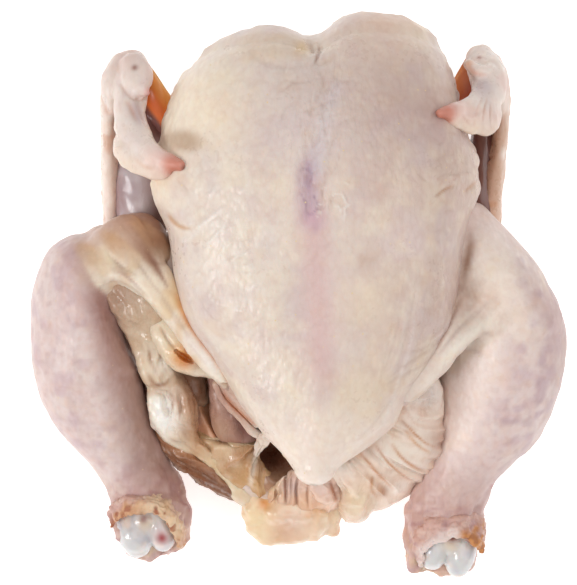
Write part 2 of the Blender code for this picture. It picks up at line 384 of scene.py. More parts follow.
breast_stations = (
    (-0.6, -81, 80, 8.5, 10),
    (1.8, -75.3, 79, 15, 13.5),
    (3.7, -68, 78, 23.6, 17.5),
    (5, -61, 77, 30.5, 20.5),
    (3.6, -51, 75.5, 37, 25),
    (4.6, -41, 74.5, 44, 28.5),
    (4.6, -31, 73.5, 51, 31.5),
    (3.4, -20, 72, 58, 35),
    (1.8, -8, 71, 62, 38),
    (1.2, 8, 69.5, 65.5, 41),
    (1.4, 28, 68.5, 68, 44.5),
    (1, 50, 67.5, 73, 46),
    (0, 72, 66.5, 70, 45),
    (-0.5, 86, 66, 67, 42.5),
    (0.8, 98, 65, 63, 38),
    (3, 108, 63, 56, 32),
)
keel = route((
    (1.4, 112.9, 0), (6.4, 93.6, 0), (0.2, 68.4, 0), (-2.9, 46.3, 0), (-0.7, 21.5, 0), (1.1, -6.7, 0),
    (2.9, -37.2, 0), (3.1, -63.6, 0), (1.3, -81.5, 0),
), 60)


def from_keel(points):
    """How far each point lies to the right of the keel's line."""
    return points[..., 0] - np.interp(points[..., 1], keel[::-1, 1], keel[::-1, 0])


def dome(stations, count, around, crowd=0.0):
    """Rings straight across the bird, each slid sideways to its station's x, with the front edge drawn back
    between the two lobes by a bell curve and the right lobe leading."""
    grid = rings([(0, *station[1:]) for station in stations], count, around, 2.25, 0.6, crowd)
    x, y = grid[..., 0], grid[..., 1]
    x += np.interp(y, [station[1] for station in stations], [station[0] for station in stations])
    front = np.clip((y - 60) / 60, 0, 1) ** 2
    y += front * (3.6 * np.tanh(x / 25) - 1.3 - 8 * bell(x + 1.5, 13))
    return grid


# Creases as seen from above, each a path, a width and a depth: the fold under the left lobe, its end beside
# the notch, the wrinkles between the lobes, and the crossed wrinkles at the right edge.
breast_creases = [
    (((-30.3, 108.3), (-27.5, 102.9), (-22.2, 99.6), (-16, 97.5), (-8.9, 96.9), (-1.5, 97.8)), 1.8, 0.35),
    (((2.2, 108.1), (1.2, 103.4), (-0.1, 98.8)), 0.7, 1.4),
    (((-4, 112.4), (-1.8, 108.1), (-0.5, 103.9)), 1.4, 1.0),
    (((-1.5, 97.8), (3, 98.8), (10.1, 102.4)), 1.1, 0.5),
    (((1.2, 96.9), (3.8, 90.2), (1.1, 82.7), (-2, 75.5)), 1.0, 0.6),
    (((10, 94.1), (6.4, 88.4), (3.7, 80.9), (2.8, 72.8)), 0.9, 0.5),
    (((-6.7, 93.1), (-11.1, 88.4), (-16, 84.7)), 0.8, 0.45),
    (((-1.5, 90.2), (-7.6, 89.3), (-13.8, 90.8)), 0.8, 0.4),
    (((7.3, 93.6), (11.7, 90.3), (17.9, 90.9)), 0.8, 0.4),
    (((-2.4, 71.9), (-4.6, 65.2), (-3.7, 58.5), (-5.5, 50.6)), 0.8, 0.5),
    (((1.9, 67.5), (0.2, 59.4), (1, 51.5)), 0.7, 0.4),
    (((52.3, 39.2), (55.1, 41.2), (57.4, 43.1), (62, 45.7)), 0.8, 0.9),
    (((55, 48.6), (58.7, 50.2), (63.4, 50.3), (68.3, 53.1)), 1.0, 0.45),
    (((66.9, 42.8), (69.4, 45.9), (71.5, 48.1)), 0.9, 0.9),
    (((45, 49.7), (47.7, 47.3), (50.4, 46.1)), 0.7, 0.4),
    (((57, 33), (59.8, 34.1), (62.6, 33.9)), 0.7, 0.35),
    (((60.8, 28), (63.7, 29.7), (66.2, 29.6)), 0.7, 0.35),
    (((-55.4, 23.4), (-48.1, 28.6), (-40.5, 34.3)), 0.6, -0.5),
    (((-47.3, 18.5), (-43.2, 22.7), (-38.3, 27.2)), 0.6, -0.5),
    (((-60.1, 20.3), (-55.4, 21.6), (-49.9, 25.6)), 0.6, -0.35),
    (((-65.7, 33.3), (-62.9, 29.4), (-59.1, 26.8), (-55.4, 26)), 1.0, 0.8),
    (((-61.8, 47.7), (-57.2, 43.7), (-55.3, 39.6)), 0.9, 0.5),
    (((44.5, -14.1), (41.9, -26.9), (37.1, -41.4), (31.6, -57.4), (26.4, -65.4)), 0.9, -0.4),
    (((40, -13.3), (38.3, -23.9), (35.7, -33.6)), 0.8, -0.2),
    (((39.4, -39.7), (34.1, -49.4), (27.1, -59.2), (19.2, -67.2)), 0.9, 0.4),
    (((58.1, -21.5), (51.1, -27.5), (42, -33.5), (32.2, -40.6)), 0.9, 0.55),
    (((56, -28.6), (46.6, -35.1), (37.6, -39.7), (30.4, -44.2)), 0.9, 0.5),
    (((52, -25.3), (45.6, -28.1), (39.2, -29.1)), 0.8, 0.5),
    (((54.3, -34.8), (45.9, -41.3), (37.7, -45.8)), 0.8, 0.4),
    (((61.3, -8), (57.5, -17.1), (51, -23.6)), 1.0, 0.6),
    (((-51.1, -5.7), (-46.6, -12.9), (-41.2, -15.8)), 0.7, 0.3),
    (((-48.3, -0.6), (-43.8, -6.1), (-39.4, -7.9)), 0.7, 0.3),
]
spread = np.random.default_rng(11)


def scattered(count, low, high, angles, lengths, width, depth):
    """Short bent creases: a middle between the low and high corners, an angle and half a length each drawn
    evenly from its range."""
    for _ in range(count):
        middle = spread.uniform(low, high)
        angle, reach = spread.uniform(*angles), spread.uniform(*lengths)
        arm = np.array((np.cos(angle), np.sin(angle))) * reach
        bend = np.array((-arm[1], arm[0])) * spread.uniform(-0.3, 0.3)
        breast_creases.append(((middle - arm, middle + bend, middle + arm), width, depth))


scattered(16, (-14, 70), (16, 100), (0.2, 2.6), (3, 7), 0.6, 0.25)
scattered(34, (-5, 30), (9, 74), (1.2, 1.9), (3, 7), 0.5, 0.4)
scattered(40, (-58, -12), (-26, 46), (0.4, 1.2), (1, 3.5), 0.45, -0.3)
scattered(14, (-2, 24), (14, 46), (0.3, 2.6), (1, 3), 0.45, -0.5)
scattered(26, (52, 34), (78, 84), (0.0, 1.6), (1.5, 4), 0.6, 0.3)
for step in np.linspace(0, 1, 11):
    x = 66 - 26 * step + spread.uniform(-2, 2)
    first, last = spread.uniform(-4, 6), spread.uniform(-52, -34)
    breast_creases.append((
        ((x - 2, first), (x - 5, 0.6 * first + 0.4 * last), (x - 18 + 6 * step, last)),
        0.55, spread.uniform(0.15, 0.35),
    ))


def breast_relief(grid):
    """How far the skin stands out: lumps of fat, the crest and groove of the keel, and the creases."""
    y = grid[..., 1]
    beside = from_keel(grid)
    relief = 0.8 * billow(grid, 26) + 0.28 * billow(grid, 11, 3.7) + 0.14 * billow(grid, 5, 1.3)
    relief += 2.2 * bell(beside, 8) * smoothstep(0, -70, y)
    relief -= 1.2 * bell(beside, 7) * smoothstep(0, 60, y)
    wavy = bell(beside - 3 - 2 * np.sin(y / 5), 1.6) * smoothstep(36, 46, y) * smoothstep(98, 88, y)
    relief += 0.5 * wavy
    relief += 0.6 * np.exp(-(((grid[..., 0] + 19) / 15) ** 4) - ((y - 108) / 7) ** 4)
    relief += 3.4 * spot(grid, (-76, 51, 76), 13) + 1.6 * spot(grid, (-72, 36, 72), 9)
    relief += 1.8 * spot(grid, (76, 62, 72), 9) + 2.4 * spot(grid, (77, 46, 72), 7)
    ragged = smoothstep(88, 74, grid[..., 2]) * smoothstep(30, 46, y)
    relief += ragged * (0.9 * billow(grid, 6, 5.1) + 0.6 * billow(grid, 3, 1.9))
    for path, width, depth in breast_creases:
        relief -= depth * furrow(grid, path, width)
    return relief


breast_grid = dome(breast_stations, 250, 330, crowd=0.45)
middle = np.interp(breast_grid[..., 1], [s[1] for s in breast_stations], [s[2] for s in breast_stations])
half = np.interp(breast_grid[..., 1], [s[1] for s in breast_stations], [s[3] for s in breast_stations])
below = breast_grid[..., 2] < middle
arch = smoothstep(0.5, 0.8, abs(breast_grid[..., 0] - 2) / half)
breast_grid[..., 2] = np.where(below, middle + (breast_grid[..., 2] - middle) * arch, breast_grid[..., 2])
breast_grid += outward(breast_grid) * breast_relief(breast_grid)[..., None]
points, faces = closed(breast_grid)
x, y, z = points.T
beside = from_keel(points)
paint = Paint(points, (232, 217, 205))
# Painted light and shade over the skin's own tone: greyer and darker towards the right.
paint.lay((214, 190, 177), smoothstep(-8, 36, x) * 0.85)
paint.lay((206, 180, 166), smoothstep(34, 60, x) * 0.6)
paint.lay((204, 176, 162), 0.5 * smoothstep(40, 58, x) * smoothstep(10, -20, y))
paint.lay((218, 196, 182), 0.6 * smoothstep(96, 116, y))
paint.cloud((236, 220, 196), 30, 4.2, 0.6)
paint.cloud((222, 202, 198), 22, 8.1, 0.6)
paint.cloud((208, 190, 190), 13, 2.6, 0.4)
paint.cloud((216, 190, 184), 5, 9.6, 0.35)
paint.cloud((242, 228, 206), 3.4, 4.4, 0.22)
paint.cloud((238, 222, 200), 7, 5.6, 0.35)
# A lighter cream patch on the left lobe, partly painted light where the light falls.
paint.touch((252, 236, 210), (-48.7, 80.2), 22, 0.75)
paint.lay((248, 232, 218), 0.7 * smoothstep(-42, -74, y))
paint.touch((210, 190, 186), (-6.8, 83.2), 22, 0.6)
# A darker patch on the right lobe: its own greyer tone and painted shade.
paint.touch((192, 164, 158), (35, 79.3), 22, 0.6)
paint.touch((234, 214, 184), (21.7, -6.6), 12, 0.5)
paint.touch((234, 216, 186), (19.7, -46), 14, 0.5)
paint.touch((196, 168, 156), (22.1, 9.9), 5, 0.5)
pink = bell(beside, 7) * smoothstep(-60, -30, y) * smoothstep(58, 30, y)
paint.lay((220, 186, 182), 0.8 * pink)
bruise = bell(beside, 5) * smoothstep(20, 30, y) * smoothstep(64, 50, y)
paint.lay((196, 168, 180), bruise * 0.85)
streaks = points * (1, 0.4, 1)
paint.lay((170, 134, 164), 0.8 * bruise * smoothstep(0.0, 0.8, billow(streaks, 3, 2.0)))
veins = smoothstep(0.82, 0.97, 1 - abs(billow(streaks, 2.6, 7.7)))
along_keel = smoothstep(24, 34, y) * smoothstep(60, 46, y)
paint.lay((124, 88, 130), 0.65 * bell(beside, 3.4) * along_keel * veins)
paint.lay((216, 168, 176), 0.5 * bruise * smoothstep(36, 28, y))
toward_neck = smoothstep(44, 52, y) * smoothstep(96, 84, y)
paint.lay((216, 206, 210), 0.5 * bell(beside - 3, 4) * toward_neck)
pad = smoothstep(1.9, 0.2, np.hypot(((x + 19) / 14) ** 2, ((y - 108) / 7) ** 2))
paint.lay((222, 198, 172), 0.5 * pad)
paint.touch((222, 186, 136), (-5.8, 107.1), 4, 0.8)
# Painted shade: a dark brown line in the crease beside the notch.
paint.stroke((160, 104, 66), ((2.2, 108.1), (1.2, 103.4), (-0.1, 98.8)), 0.6, 0.8)
paint.stroke((204, 146, 98), ((53.2, 39.7), (55.1, 41.2), (57.4, 43.1), (61.6, 45.2)), 0.5, 0.8)
paint.stroke((204, 146, 98), ((66.9, 43.3), (69.4, 45.5), (72.6, 48.4)), 0.5, 0.8)
paint.stroke((222, 168, 104), ((-65.7, 33.3), (-62.9, 29.4), (-59.1, 26.8), (-55.4, 26)), 0.8, 0.8)
paint.touch((240, 220, 190), (-74, 50, 82), 12, 0.7)
paint.touch((236, 206, 186), (31.9, 121.7), 16, 0.7)
# Painted shadow of the left wing tip, cast on the breast.
wing_tip_shadow = smoothstep(1.5, 0.4, np.hypot((x + 59) / 9, (y - 65 + 0.2 * (x + 57)) / 5))
paint.lay((190, 158, 128), 0.75 * wing_tip_shadow)
# Painted shade in the creases; the ridges with negative depths get painted highlights.
for path, width, depth in breast_creases:
    if depth > 0.15:
        paint.stroke((184, 150, 134), path, width * 0.8, 0.5 * min(depth, 1))
    else:
        paint.stroke((246, 240, 234), path, width, -0.9 * depth)
paint.lay((210, 172, 134), 0.6 * smoothstep(70, 60, z) * smoothstep(30, 50, y))
paint.crepe += 0.35 * bell(beside, 10) * smoothstep(22, 40, y) * smoothstep(108, 96, y)
paint.crepe += 0.4 * smoothstep(42, 60, x - 0.25 * y) * smoothstep(24, 0, y) * smoothstep(-66, -50, y)
paint.crepe += 0.45 * smoothstep(52, 66, x) * smoothstep(30, 44, y) * smoothstep(96, 84, y) + 0.12
finished("breast", new_mesh("breast", points, faces), paint, breast_skin)

# ---------------------------------------------------------------------------------------------------------
# The frame: back, sides, neck stub and hips, with the hollow that the entrails left. Pale skin outside;
# inside it is brown and tan, with a film over the flesh. It is cast as one skin from crossing tubes.

hip = {"left": (-40, 2, 42), "right": (42, 8, 42)}
knee = {"left": (-101, 8, 50), "right": (89, -5, 51)}
hock = {"left": (-76.2, -112.6, 25), "right": (60.2, -120.6, 25)}
sides = {"left": -1, "right": 1}


def joined(grids):
    """Points and faces of several closed grids as one list."""
    points, faces, start = [], [], 0
    for grid in grids:
        grid_points, grid_faces = closed(grid)
        points.append(grid_points)
        faces += [[start + corner for corner in face] for face in grid_faces]
        start += len(grid_points)
    return np.vstack(points), faces


def fused(name, grids, voxel, softening, cutters=()):
    """A mesh of crossing grids made one skin, with each cutter's grids taken out, and softened."""
    def temporary(label, parts):
        obj = bpy.data.objects.new(label, new_mesh(label, *joined(parts)))
        bpy.context.scene.collection.objects.link(obj)
        return obj

    def fuse(steps):
        remesh = whole.modifiers.new("fuse", "REMESH")
        remesh.mode = "VOXEL"
        remesh.voxel_size = voxel * unit
        smooth = whole.modifiers.new("soften", "SMOOTH")
        smooth.factor = 0.5
        smooth.iterations = steps

    whole = temporary(name, grids)
    fuse(softening)
    spare = [whole]
    for i, parts in enumerate(cutters):
        cutter = temporary(f"{name}_cutter_{i}", parts)
        spare.append(cutter)
        boolean = whole.modifiers.new(cutter.name, "BOOLEAN")
        boolean.operation = "DIFFERENCE"
        boolean.object = cutter
    if cutters:
        fuse(4)
    graph = bpy.context.evaluated_depsgraph_get()
    mesh = bpy.data.meshes.new_from_object(whole.evaluated_get(graph))
    for obj in spare:
        bpy.data.objects.remove(obj)
    mesh.name = name
    return mesh


def vertices(mesh):
    """The mesh's points in units, and their normals."""
    points = np.empty(len(mesh.vertices) * 3, np.float32)
    normals = np.empty_like(points)
    mesh.vertices.foreach_get("co", points)
    mesh.vertices.foreach_get("normal", normals)
    return points.reshape(-1, 3).astype(float) / unit, normals.reshape(-1, 3).astype(float)


def moved(mesh, points):
    """Puts points, given in units, back into the mesh."""
    mesh.vertices.foreach_set("co", (points * unit).astype(np.float32).ravel())
    mesh.update()


def shaped(name, grids, voxel=0, softening=4, cutters=(), bumps=(), creases=()):
    """A mesh of the grids, fused where a voxel size is given, and its points after its relief is put in.

    bumps are sizes and heights of noise, and creases are a path, a width and a depth each.
    """
    if voxel:
        mesh = fused(name, grids, voxel, softening, cutters)
    else:
        mesh = new_mesh(name, *joined(grids))
    points, normals = vertices(mesh)
    height = np.zeros(len(points))
    for size, tall in bumps:
        height += tall * billow(points, size, size)
    for path, width, depth in creases:
        height -= depth * furrow(points, path, width)
    points += normals * (height * smoothstep(0, 5, points[:, 2]))[:, None]
    points[:, 2] = np.maximum(points[:, 2], 0)
    moved(mesh, points)
    return mesh, points


def depth_in(points, stations):
    """How deep each point lies in a tube: its distance from the tube's line over the half size there."""
    rows = route(stations, 4 * len(stations))
    along = np.gradient(rows[:, :3], axis=0)
    along /= np.linalg.norm(along, axis=1, keepdims=True)
    best = np.full(len(points), 1e9)
    for row, line in zip(rows, along):
        across = np.cross(line, (0, 0, 1))
        across /= np.linalg.norm(across)
        away = points - row[:3]
        reach = np.sqrt(
            (away @ across / row[3]) ** 2
            + (away @ np.cross(across, line) / row[4]) ** 2
            + (away @ line / 8) ** 2
        )
        best = np.minimum(best, reach)
    return best


def slimmer(stations, by):
    """The stations with every half size made smaller."""
    return [(*s[:3], s[3] - by, s[4] - by) for s in stations]


def along_bone(start, end, girth, way):
    """Stations of flesh along a straight bone.

    A row of girth is the share of the way, how far the flesh stands off the bone towards the bird's outer
    side, half its width and half its depth.
    """
    start, end = np.array(start, float), np.array(end, float)
    return [
        (*(start + (end - start) * share + np.array((way * off, 0, 0))), wide, deep)
        for share, off, wide, deep in girth
    ]


thigh_girth = {
    "left": ((0, 0, 34, 30), (0.5, 0, 31, 28), (1, 0, 27, 25)),
    "right": ((0, 0, 34, 30), (0.5, 0, 33, 29), (1, 0, 28, 26)),
}
thigh = {side: along_bone(hip[side], knee[side], thigh_girth[side], way) for side, way in sides.items()}
back_stations = (
    (0, 92, 33, 30, 28),
    (0, 70, 34.5, 43, 37),
    (0, 40, 35.5, 48, 39),
    (0, 5, 34.5, 51, 38),
    (0, -30, 30.5, 56, 34),
    (-1, -58, 26.5, 60, 30),
    (-2, -78, 23, 53, 24),
    (-2, -92, 19, 39, 16),
)
neck_stations = ((0, 84, 34, 30, 20), (0, 100, 31, 26, 16), (0, 112, 29, 20, 11))
rim_stations = (
    (-65, -22, 46, 12, 14),
    (-67, -40, 42, 12, 14),
    (-65, -57, 38, 11, 13),
    (-56, -73, 33, 10, 12),
    (-42, -85, 28, 9, 11),
    (-27, -93, 25, 9, 10),
)
hollow_stations = (
    (2, 60, 38, 16, 10),
    (0, 32, 38, 34, 23),
    (-2, -8, 38, 40, 25),
    (-6, -42, 40, 38, 22),
    (-11, -68, 48, 26, 15),
    (-13, -90, 55, 20, 12),
    (-14, -112, 60, 20, 14),
)
slit_stations = ((-54, -38, 62, 7, 24), (-44, -56, 62, 9, 25), (-33, -74, 62, 9, 24), (-24, -90, 62, 9, 22))

frame_mesh, points = shaped(
    "body_frame",
    [
        dome(slimmer(breast_stations[3:], 9), 60, 72),
        rings(back_stations, 50, 64, 2.4, 0.7),
        rings(neck_stations, 20, 40, 2.4),
        rings(slimmer(rim_stations, 5), 40, 30),
        *[rings(slimmer(thigh[side], 7), 30, 48) for side in sides],
    ],
    1.6, 8,
    cutters=([rings(hollow_stations, 60, 48)], [rings(slit_stations, 30, 30)]),
    bumps=((18, 0.7), (7, 0.35), (3, 0.15)),
)
loose_skin = flesh_material("loose_skin", roughness=0.34, coat=0.25, bumps=0.7, wet=0.6)
depth = np.minimum(depth_in(points, hollow_stations), depth_in(points, slit_stations))
inside = smoothstep(1.25, 1.05, depth)
paint = Paint(points, (230, 210, 196))
paint.cloud((222, 190, 182), 26, 5.5, 0.7)
paint.cloud((238, 218, 186), 18, 1.5, 0.6)
paint.lay((186, 138, 104), inside * 0.95)
paint.lay((130, 76, 56), inside * smoothstep(-0.2, 0.6, billow(points, 14, 1.5)))
# Painted shade: darker deeper into the hollow, and a dark spot at the way into the bird.
paint.lay((84, 46, 32), inside * smoothstep(-60, -20, points[:, 1]))
paint.touch((78, 42, 26), (-19.6, -77.4, 38), 9, 0.9)
beside_rim = np.maximum(spot(points, (-51.4, -63.3, 42), 9), spot(points, (-52.3, -47.3, 42), 9))
paint.lay((214, 154, 114), 0.9 * beside_rim)
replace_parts(finished("body_frame", frame_mesh, paint, loose_skin), "carcass")

# ---------------------------------------------------------------------------------------------------------
# The legs: thigh, drumstick and the cream fold that runs on to the breast, under one pinkish skin. It is
# tight and bumpy on the outer side, and loose, wrinkled and browned at the ankle, where the foot was cut off.

leg_girth = {
    "left": (
        (0, 1, 25.5, 25),
        (0.08, 5, 27, 26),
        (0.18, 8, 27.0, 26),
        (0.34, 12, 26.4, 25),
        (0.47, 11.5, 24, 22),
        (0.59, 7, 20, 19),
        (0.72, 1.5, 16.5, 15.5),
        (0.85, -2.5, 16.5, 15),
        (0.94, -2, 18.2, 15),
        (1, -2.6, 16, 13),
    ),
    "right": (
        (0, -2, 24, 25),
        (0.08, 2.5, 26.8, 26.5),
        (0.16, 5.2, 28, 27),
        (0.3, 6.5, 28, 26),
        (0.43, 6.5, 25, 23),
        (0.53, 3.5, 21, 20),
        (0.64, 0, 17, 16),
        (0.78, -3, 17, 15),
        (0.9, -2, 18, 15),
        (1, 0.5, 16.5, 13.5),
    ),
}
leg_creases = {
    "left": (
        (
            ((-95.8, 3.2, 70), (-89.6, -5.8, 68), (-84, -14.7, 64), (-78.4, -24.6, 58), (-76, -33.6, 52)),
            9, 8,
        ),
        (
            ((-96.8, 5.6, 74), (-91.6, 1.2, 72), (-86.9, -6.7, 68), (-81.5, -19.1, 60), (-79.3, -29.9, 52)),
            1.2, 1.6,
        ),
        (((-99.1, -4.4, 74), (-95.7, -7, 72), (-92.3, -11.3, 68)), 0.6, 0.4),
        (((-100.9, -12.6, 74), (-96.6, -9.7, 72), (-91.4, -9.5, 68)), 0.5, -0.4),
        (((-100, -7.1, 74), (-95.7, -7.9, 72), (-90.5, -11.3, 68)), 0.5, -0.4),
        (((-102.9, -9.7, 72), (-98.6, -8.7, 70), (-94.2, -9.5, 68)), 0.8, 0.4),
        (((-102.2, -14.2, 70), (-96, -12.2, 68), (-91.6, -13.9, 66)), 0.8, 0.4),
        (((-74, 29.7, 70), (-70.3, 25.1, 70), (-65.9, 23.5, 68)), 1.2, 0.8),
        (((-74, 14.1, 70), (-70.4, 12.5, 68), (-65.1, 13.6, 66)), 1.4, 1.2),
        (((-92, 14.9), (-86.6, 10.3), (-80.2, 6.7)), 0.8, 0.6),
        (((-82, 14.9), (-76.6, 7.6), (-71.1, -0.6)), 0.8, 0.7),
        (((-75.7, 17.6), (-71.1, 10.3), (-67.5, 3)), 0.8, 0.6),
        (((-95.7, 18.5), (-90.2, 13.1), (-84.7, 9.4)), 0.7, 0.4),
        (((-85.7, 6.7), (-80.2, 0.8), (-74.7, -4.3)), 0.7, 0.6),
        (((-67.5, -4.3), (-62, -12.5), (-56.6, -21.6)), 0.7, 0.5),
        (((-72, 2.1), (-66.6, -7), (-62, -15.2)), 0.7, 0.5),
        (((-59.3, -20.7), (-53.8, -27.9), (-48.4, -34.3)), 0.6, 0.4),
        (((-92.1, -73.6, 36), (-87.9, -80.3, 35), (-81.9, -85, 34)), 1.2, 0.8),
        (((-94.9, -86.9, 36), (-89.3, -89.7, 36), (-82.8, -88.8, 34), (-76.3, -92.6, 32)), 1.3, 1.0),
        (((-96, -94.5, 34), (-89.3, -96.3, 36), (-81.7, -95.4, 36), (-74.3, -98.2, 34)), 1.4, 1.2),
        (((-77.2, -82.2, 34), (-74.3, -90.7, 34), (-70.2, -98.8, 32), (-67.9, -108.3, 30)), 1.4, 1.2),
    ),
    "right": (
        (((69.4, 27.3, 66), (71.9, 19.8, 68), (71, 11.6, 68), (69.4, 4.4, 66)), 1.4, 0.9),
        (((71.8, -4.1, 70), (76.1, -2.4, 72), (82.5, -4.3, 72)), 1.1, 0.7),
        (((66.1, -4.3), (61.6, -13.4), (57.1, -21.6), (51.6, -30.7), (44.3, -39.8)), 0.9, 1.0),
        (((72.5, -9.7), (65.7, -17), (60.2, -23.4), (55.2, -29.8)), 0.8, 0.8),
        (((59.8, -9.7), (56.1, -17.9), (49.8, -27)), 0.7, 0.7),
        (((78, -6.1), (71.6, -12.5), (66.1, -17.9)), 0.7, 0.4),
        (((71, -22.3, 68), (75.4, -19.6, 70), (81.8, -19.6, 70), (88.4, -15.9, 68)), 1.1, 0.7),
        (((66.6, -27.7, 66), (71, -26.9, 68), (76.5, -28.7, 68)), 1.0, 0.6),
        (((59.6, -91.6, 36), (64.2, -87.8, 37), (69.8, -89.7, 37), (76.5, -85.9, 36)), 1.3, 1.0),
        (
            ((50.3, -97.3, 34), (55.7, -95.3, 37), (62.3, -98.2, 37), (69.8, -96.3, 37), (77.6, -99.2, 34)),
            1.4, 1.2,
        ),
        (((49.4, -105.9, 32), (54.9, -102.9, 36), (62.3, -104.8, 37), (70.9, -102.9, 36)), 1.4, 1.2),
        (((57.5, -82.1, 38), (63.1, -84.9, 39), (66.9, -90.6, 38)), 1.2, 0.8),
        (((73.9, -92.6, 34), (76.8, -98.3, 33), (76, -106.9, 31)), 1.3, 1.0),
    ),
}


def leg_axes(side):
    """The end of the leg, and directions along the drumstick away from the body, across it and upward."""
    start, end = np.array(knee[side], float), np.array(hock[side], float)
    along = (end - start) / np.linalg.norm(end - start)
    across = np.cross(along, (0, 0, 1))
    across /= np.linalg.norm(across)
    return end, along, across, np.cross(across, along)


# The thigh of each leg, and the skin stretched from each knee to the side of the breast, in one with it.
thigh_flesh = {
    "left": ((-78.4, 7.9, 44, 31, 27), (-88.5, 6.7, 47, 30, 27), (-100.3, 7.9, 50, 24.5, 24)),
    "right": (
        (64.4, 27.3, 47, 20, 25), (76.2, 12, 51, 22, 26), (88.4, -4, 54, 21.5, 24),
        (99.4, -18.4, 55, 18, 21),
    ),
}
stretched_skin = {
    "left": (
        (-92.7, 23.8, 64, 16, 8), (-85.2, 15.4, 66, 14, 8), (-77.8, 4.8, 67, 10.5, 7),
        (-71.4, -4.4, 67, 7.5, 6), (-64.2, -13.5, 66, 5.4, 5.5), (-56.8, -22.6, 66, 4.2, 5),
        (-49.5, -31.4, 66, 3.6, 4.5), (-43.6, -38.7, 66, 3, 4), (-39, -44.2, 66, 1.8, 3),
    ),
    "right": (
        (82.5, -1.8, 62, 13, 9), (73.9, -10.3, 66, 9, 8), (65.6, -19.5, 67, 6, 6),
        (59.2, -27.7, 67, 5, 5.5), (52.8, -36, 67, 4, 5), (45.6, -44.2, 66, 3.6, 4.5),
        (39.2, -50.6, 65, 2.4, 3.5),
    ),
}


def film(rows, count, thickness, pleats=0.0, depth=0.0, slant=0.0, shift=0.0):
    """A grid closed round a thin sheet: the splined surface through rows of points, moved up and down along
    its normal by half the thickness, which falls to nothing at the edges as 1 - t^6 does, t from -1 to 1.

    Its pleats are noise read at (column + slant x row) x pleats, raised and lowered by the depth, where the
    column and the row go from 0 to 1.
    """
    sheet = splined(np.array(rows, float), count // (len(rows) - 1))
    sheet = splined(sheet.swapaxes(0, 1), count // (sheet.shape[1] - 1)).swapaxes(0, 1)
    normal = np.cross(np.gradient(sheet, axis=0), np.gradient(sheet, axis=1))
    normal /= np.linalg.norm(normal, axis=2, keepdims=True)
    normal *= np.sign(normal[..., 2:].mean())
    row = np.linspace(-1, 1, sheet.shape[0])[:, None]
    column = np.linspace(-1, 1, sheet.shape[1])
    at = np.stack(np.broadcast_arrays((column + slant * row + 2) * pleats / 2, row + 1, shift), axis=-1)
    sheet += normal * (depth * (1 - 2 * abs(billow(at, 1.0, 2.0))))[..., None]
    rise = normal * (0.5 * thickness * (1 - row**6) * (1 - column**6) + 0.02)[..., None]
    shell = np.concatenate([sheet + rise, (sheet - rise)[:, ::-1]], axis=1)
    facing_out = np.sum(outward(shell)[:, : sheet.shape[1]] * normal) > 0
    return shell if facing_out else shell[:, ::-1]


# The cream fold of skin that runs from each knee on to the side of the breast.
fold_rows = {
    "left": [
        [(-86.1, 35, 54), (-97.9, 29.2, 56), (-109, 22.7, 56)],
        [(-76.3, 26.8, 62), (-89.2, 19.4, 67), (-102, 15.8, 67)],
        [(-67.7, 16.1, 68), (-80.1, 9.8, 73), (-94.7, 4.8, 73)],
        [(-62.5, 5.3, 72), (-73.2, 1.4, 75.5), (-85, -0.8, 74.5)],
        [(-58.7, -4.8, 74), (-67.7, -6.4, 76.5), (-77.3, -6.7, 74.5)],
        [(-53.7, -14, 75), (-61.8, -14.5, 76.5), (-70.1, -13, 73)],
        [(-47.8, -23.1, 76), (-54.5, -24.1, 77), (-60.2, -24.8, 73)],
        [(-41.9, -31.8, 77), (-47.7, -33.1, 77), (-53.4, -32.5, 72)],
        [(-34.2, -43.5, 75), (-38.8, -44.4, 74), (-43.9, -42.9, 70)],
    ],
    "right": [
        [(68, 14.1, 60), (75.9, 6.4, 64), (85.1, -1.9, 64), (91.9, -7.6, 60)],
        [(63, 0.7, 66), (69, -5, 70), (77.1, -10.6, 72), (84.8, -14, 67)],
        [(59.6, -8.1, 75), (63, -12.7, 77), (69.8, -17.7, 77), (77.2, -19.6, 70)],
        [(54.6, -14.8, 81), (59.1, -20.3, 82), (64.1, -24.3, 81), (70.2, -24.3, 73)],
        [(50, -23, 83), (54, -27.5, 83.5), (59.1, -31.1, 82), (64.2, -30.3, 73)],
        [(43.6, -32.1, 84), (48.6, -36.1, 84), (53.7, -38.7, 82), (58.3, -37.1, 73)],
        [(36.5, -40.2, 84), (41, -44.2, 84), (45.6, -46.4, 82), (50.2, -45.3, 73)],
        [(30.3, -47.3, 82), (34.3, -50.9, 82), (38.5, -52.7, 80), (42.5, -52.5, 72)],
    ],
}
fold = {
    "left": film(fold_rows["left"], 128, 5, 4, 0.35, 0.4),
    "right": film(fold_rows["right"], 126, 3.4, 3, 0.3, 0.3),
}
leg_skin = flesh_material("leg_skin", roughness=0.46, coat=0.05, bumps=1.9, mottle=1.6, specks=0.4)
